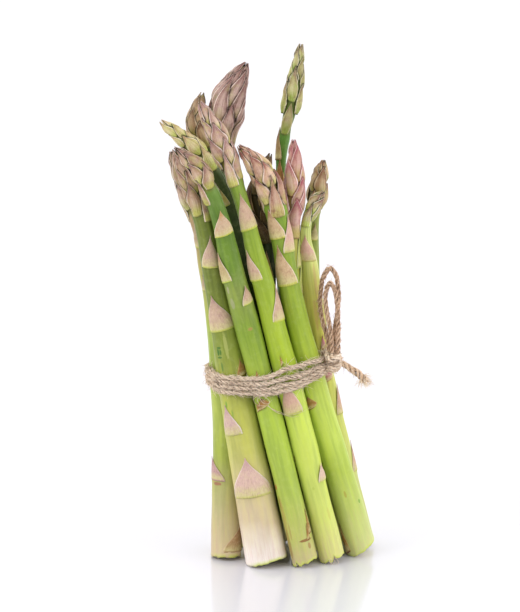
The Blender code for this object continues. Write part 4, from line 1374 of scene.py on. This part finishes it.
def newSkin(spear, low):
    # a grid of what lies on a head's core so far
    s = np.arange(low, spear["along"][-1] + bract["step"], bract["step"])
    angle = np.linspace(0, turn, bract["turns"], endpoint=False)
    return dict(s=s, angle=angle, height=np.zeros((len(s), len(angle))))


def gridValue(grid, row, column, columns=None):
    # the value between the points of a grid, whose columns may close into a ring
    i, j = row.astype(int), column.astype(int)
    u, v = row - i, column - j
    k = j + 1
    if columns:
        j, k = j % columns, k % columns
    low = grid[i, j] * (1 - v) + grid[i, k] * v
    return low * (1 - u) + (grid[i + 1, j] * (1 - v) + grid[i + 1, k] * v) * u


def skinAt(skin, s, angle, key="height"):
    row = np.clip((s - skin["s"][0]) / bract["step"], 0, len(skin[key]) - 1.001)
    column = (angle % turn) / turn * bract["turns"]
    return gridValue(skin[key], row, column, bract["turns"])


def softened(grid):
    # evens out a bract's lift so that it bridges what it lies on
    for axis in (0, 1):
        first = np.take(grid, [0], axis)
        last = np.take(grid, [-1], axis)
        padded = np.concatenate([first, grid, last], axis)
        size = grid.shape[axis]
        before, after = np.take(padded, range(size), axis), np.take(padded, range(2, size + 2), axis)
        grid = (before + 2 * grid + after) / 4
    return grid


def angleOff(angle, spec, inside):
    # how far round from a bract's middle line, at a share of the bract's length
    return halfTurn(angle - spec["facing"] - spec["twist"] * inside)


def layBract(spear, skin, spec):
    # a bract swells above its foot and lies over whatever is already on the core
    up, side, s, angle, thick = bladePlace(spear, spec)
    room = np.maximum(along(spear, s, "girth") - coreRadius(spear, s), bract["least"])
    room = np.minimum(room, along(spear, s, "girth") * bract["most"])
    rise = np.clip(up / bract["shoulder"], 0, 1)
    rise = bract["foot"] + (1 - bract["foot"]) * np.sin(0.5 * math.pi * rise)
    rise = rise * (1 - bract["droop"] * np.clip((up - 0.6) / 0.4, 0, 1))
    dome = room * rise * (1 - bract["edge"] * np.abs(side) ** 2.4)
    dome = dome + bract["swell"] * (1 - side**2) * np.sin(math.pi * up**0.8)
    under = skinAt(skin, s, angle) + bract["gap"]
    lift = np.maximum(dome, under)
    for _ in range(3):
        lift = np.maximum(softened(lift), under)
    spec["lift"] = lift
    share = (skin["s"][:, None] - spec["start"]) / spec["length"]
    inside = np.clip(share, 0, 1)
    reach = halfWidth(spec, inside) / hugRadius(spear, spec, skin["s"][:, None])
    reach = np.clip(reach, 0, leaf["wrap"])
    across = angleOff(skin["angle"][None, :], spec, inside) / reach
    covered = (share >= 0) & (share <= 1) & (np.abs(across) <= 1)
    row = inside * (leaf["rows"] - 1.001) + 0 * across
    column = (np.clip(across, -1, 1) + 1) / 2 * (leaf["columns"] - 1.001)
    top = gridValue(lift + thick, row, column)
    skin["height"] = np.where(covered, np.maximum(skin["height"], top), skin["height"])


def edgeShade(spear, over, s, angle):
    # painted shade: 1 right beside the edge of a bract that lies on top, and 0 further away
    inside = np.clip((s - over["start"]) / over["length"], 0, 1)
    hug = coreRadius(spear, s) + over["hug"]
    beside = np.maximum(np.abs(angleOff(angle, over, inside)) * hug - halfWidth(over, inside), 0)
    beyond = np.maximum(over["start"] - s, s - over["start"] - over["length"])
    return np.clip(1.25 - np.hypot(beside, np.maximum(beyond, 0)) / bract["halo"], 0, 1)


def shadeBracts(spear, skin, specs):
    # paints shade on what lies under another bract or in the crease beside one, and beside the edges of
    # bracts above
    reach = bract["cavityReach"]
    height = skin["height"]
    padded = np.pad(height, ((reach, reach), (0, 0)), mode="edge")
    sums = sum(padded[k:k + len(height)] for k in range(2 * reach + 1)) / (2 * reach + 1)
    skin["even"] = sum(np.roll(sums, k, axis=1) for k in range(-reach, reach + 1)) / (2 * reach + 1)
    for number, spec in enumerate(specs):
        s, angle, thick = bladePlace(spear, spec)[2:]
        surface = skinAt(skin, s, angle)
        buried = (surface - spec["lift"] - thick) / bract["cavityDepth"]
        crease = (skinAt(skin, s, angle, "even") - surface) / bract["cavityDepth"]
        spec["deep"] = np.clip(np.maximum(buried, crease), 0, 1)
        for over in specs[number + 1:]:
            beside = bract["haloShade"] * edgeShade(spear, over, s, angle)
            spec["deep"] = np.maximum(spec["deep"], beside)


def headBract(spear, start, length, facing, twist, half, seed):
    # what shapes one bract; those that start well below the neck are pointed like leaves
    full = spear["along"][-1] - spear["neck"]
    rng = np.random.default_rng(seed)
    return dict(
        outline=leafOutline if start < bract["pointed"] else bractOutline, seed=seed,
        start=spear["neck"] + start * mm,
        length=min(length * mm, full - start * mm - bract["tipGap"]),
        facing=math.radians(facing), twist=math.radians(twist), half=half * mm,
        hug=bract["hug"], dip=bract["dip"], slant=bract["slant"] * (rng.random() - 0.5),
        tone=bract["tone"] * rng.random(),
    )


def spiralBracts(name, full, seed):
    # the bracts between the ones on view, in a spiral up the head, and three that close its tip
    count, longLow, longHigh, halfLow, halfHigh, facing, first = heads[name]["fill"]
    rng = np.random.default_rng(seed)
    rows = []
    for i in range(count):
        t = i / (count - 1)
        packed = 1 - (1 - t * bract["squeeze"]) ** bract["packing"]
        start = first + (full - first) * packed * bract["reachUp"]
        way = facing + i * bract["goldenTurn"] + rng.normal(0, bract["scatter"])
        way = (way + 180) % 360 - 180
        size = rng.uniform(*bract["sizes"])
        taken = any(
            abs(row[0] - start) < bract["nearAlong"]
            and abs((row[2] - way + 180) % 360 - 180) < bract["nearRound"]
            for row in heads[name]["bracts"]
        )
        if not taken:
            long, half = longLow + (longHigh - longLow) * t, halfLow + (halfHigh - halfLow) * t
            twist = rng.normal(0, bract["scatter"])
            rows.append((start, long * size, way, twist, half * size, seed + 60 + i))
    below, long, half = bract["closing"]
    return rows + [(full - below, long, 120 * i + 20, 0, half, seed + 90 + i) for i in range(3)]


def headBracts(name):
    # every bract of a head, laid from the tip down, so that the lower ones lie on top
    spear = spears[name]
    seed = sum(map(ord, name))
    full = (spear["along"][-1] - spear["neck"]) / mm
    placed = [(*row, seed + i) for i, row in enumerate(heads[name]["bracts"])]
    placed += spiralBracts(name, full, seed)
    specs = [headBract(spear, *row) for row in sorted(placed, reverse=True)]
    skin = newSkin(spear, min(spec["start"] for spec in specs) - 0.001)
    for spec in specs:
        layBract(spear, skin, spec)
    shadeBracts(spear, skin, specs)
    return specs


def makeHeads():
    for name in sorted(heads):
        shapes = [blade(spears[name], spec) for spec in headBracts(name)]
        fit(makeJoined("head" + partName(name), shapes, headFinish(name)), "scale_leaf")


for name in sorted(spears):
    makeStem(name)
print("stems grown")
makeStemLeaves()
makeBits()
makeHeads()
print("leaves and heads grown")


# the soft light of a white tent, how bright its sides are, and the floor: its shade, how much
# darker its grain is, its tint as red, green and blue, its half size and how far down it lies
studio = dict(
    front=0.34, sides=1.15, back=0.75, top=0.78, aim=(0.0, 0.0, 0.1),
    floor=0.69, grain=0.985, cool=(1.0, 0.985, 1.08), size=6.0, below=0.0002,
    lamps=(("keyLight", (-1.1, -0.75, 0.9), 0.7, 6.0), ("fillLight", (1.2, -0.6, 0.7), 0.8, 4.5)),
)


def makeFloor():
    made = Finish("floorSheet", 0.16)
    grain = made.noise(made.where(), 900, 2)
    pale, deep = (
        (*[studio["floor"] * part * k for part in studio["cool"]], 1.0) for k in (1.0, studio["grain"])
    )
    made.set(Specular_IOR_Level=0.8)
    material = made.paint(made.mix(grain, pale, deep))
    size = studio["size"]
    corners = ((-size, -size), (size, -size), (size, size), (-size, size))
    points = [(*corner, -studio["below"]) for corner in corners]
    floor = makePiece("floor", points, [(0, 1, 2, 3)], material)


def makeLight(name, place, size, power):
    data = bpy.data.lights.new(name, "AREA")
    data.shape = "DISK"
    data.size = size
    data.energy = power
    lamp = bpy.data.objects.new(name, data)
    lamp.location = place
    lamp.rotation_euler = (Vector(studio["aim"]) - Vector(place)).to_track_quat("-Z", "Y").to_euler()
    bpy.context.scene.collection.objects.link(lamp)


def makeStudio():
    # a white tent: bright walls left and right, dimmer in front; white where it is looked at
    world = bpy.data.worlds.new("World")
    bpy.context.scene.world = world
    world.use_nodes = True
    tree = world.node_tree
    where = tree.nodes.new("ShaderNodeTexCoord").outputs["Generated"]
    parts = tree.nodes.new("ShaderNodeSeparateXYZ")
    tree.links.new(where, parts.inputs[0])
    across = mathNode(tree, "MULTIPLY", parts.outputs["X"], parts.outputs["X"])
    behind = mathNode(tree, "MAXIMUM", parts.outputs["Y"], 0.0)
    above = mathNode(tree, "MAXIMUM", parts.outputs["Z"], 0.0)
    level = mathNode(tree, "MULTIPLY_ADD", across, studio["sides"], studio["front"])
    level = mathNode(tree, "MULTIPLY_ADD", behind, studio["back"], level)
    level = mathNode(tree, "MULTIPLY_ADD", above, studio["top"], level)
    seen = tree.nodes.new("ShaderNodeLightPath").outputs["Is Camera Ray"]
    level = mathNode(tree, "MAXIMUM", level, seen)
    background = tree.nodes["Background"]
    background.inputs["Color"].default_value = (1, 1, 1, 1)
    tree.links.new(level, background.inputs["Strength"])
    for lamp in studio["lamps"]:
        makeLight(*lamp)
    bpy.context.scene.view_settings.view_transform = "Standard"
    bpy.context.scene.view_settings.look = "None"


makeFloor()
makeStudio()
print("floor and lights placed")
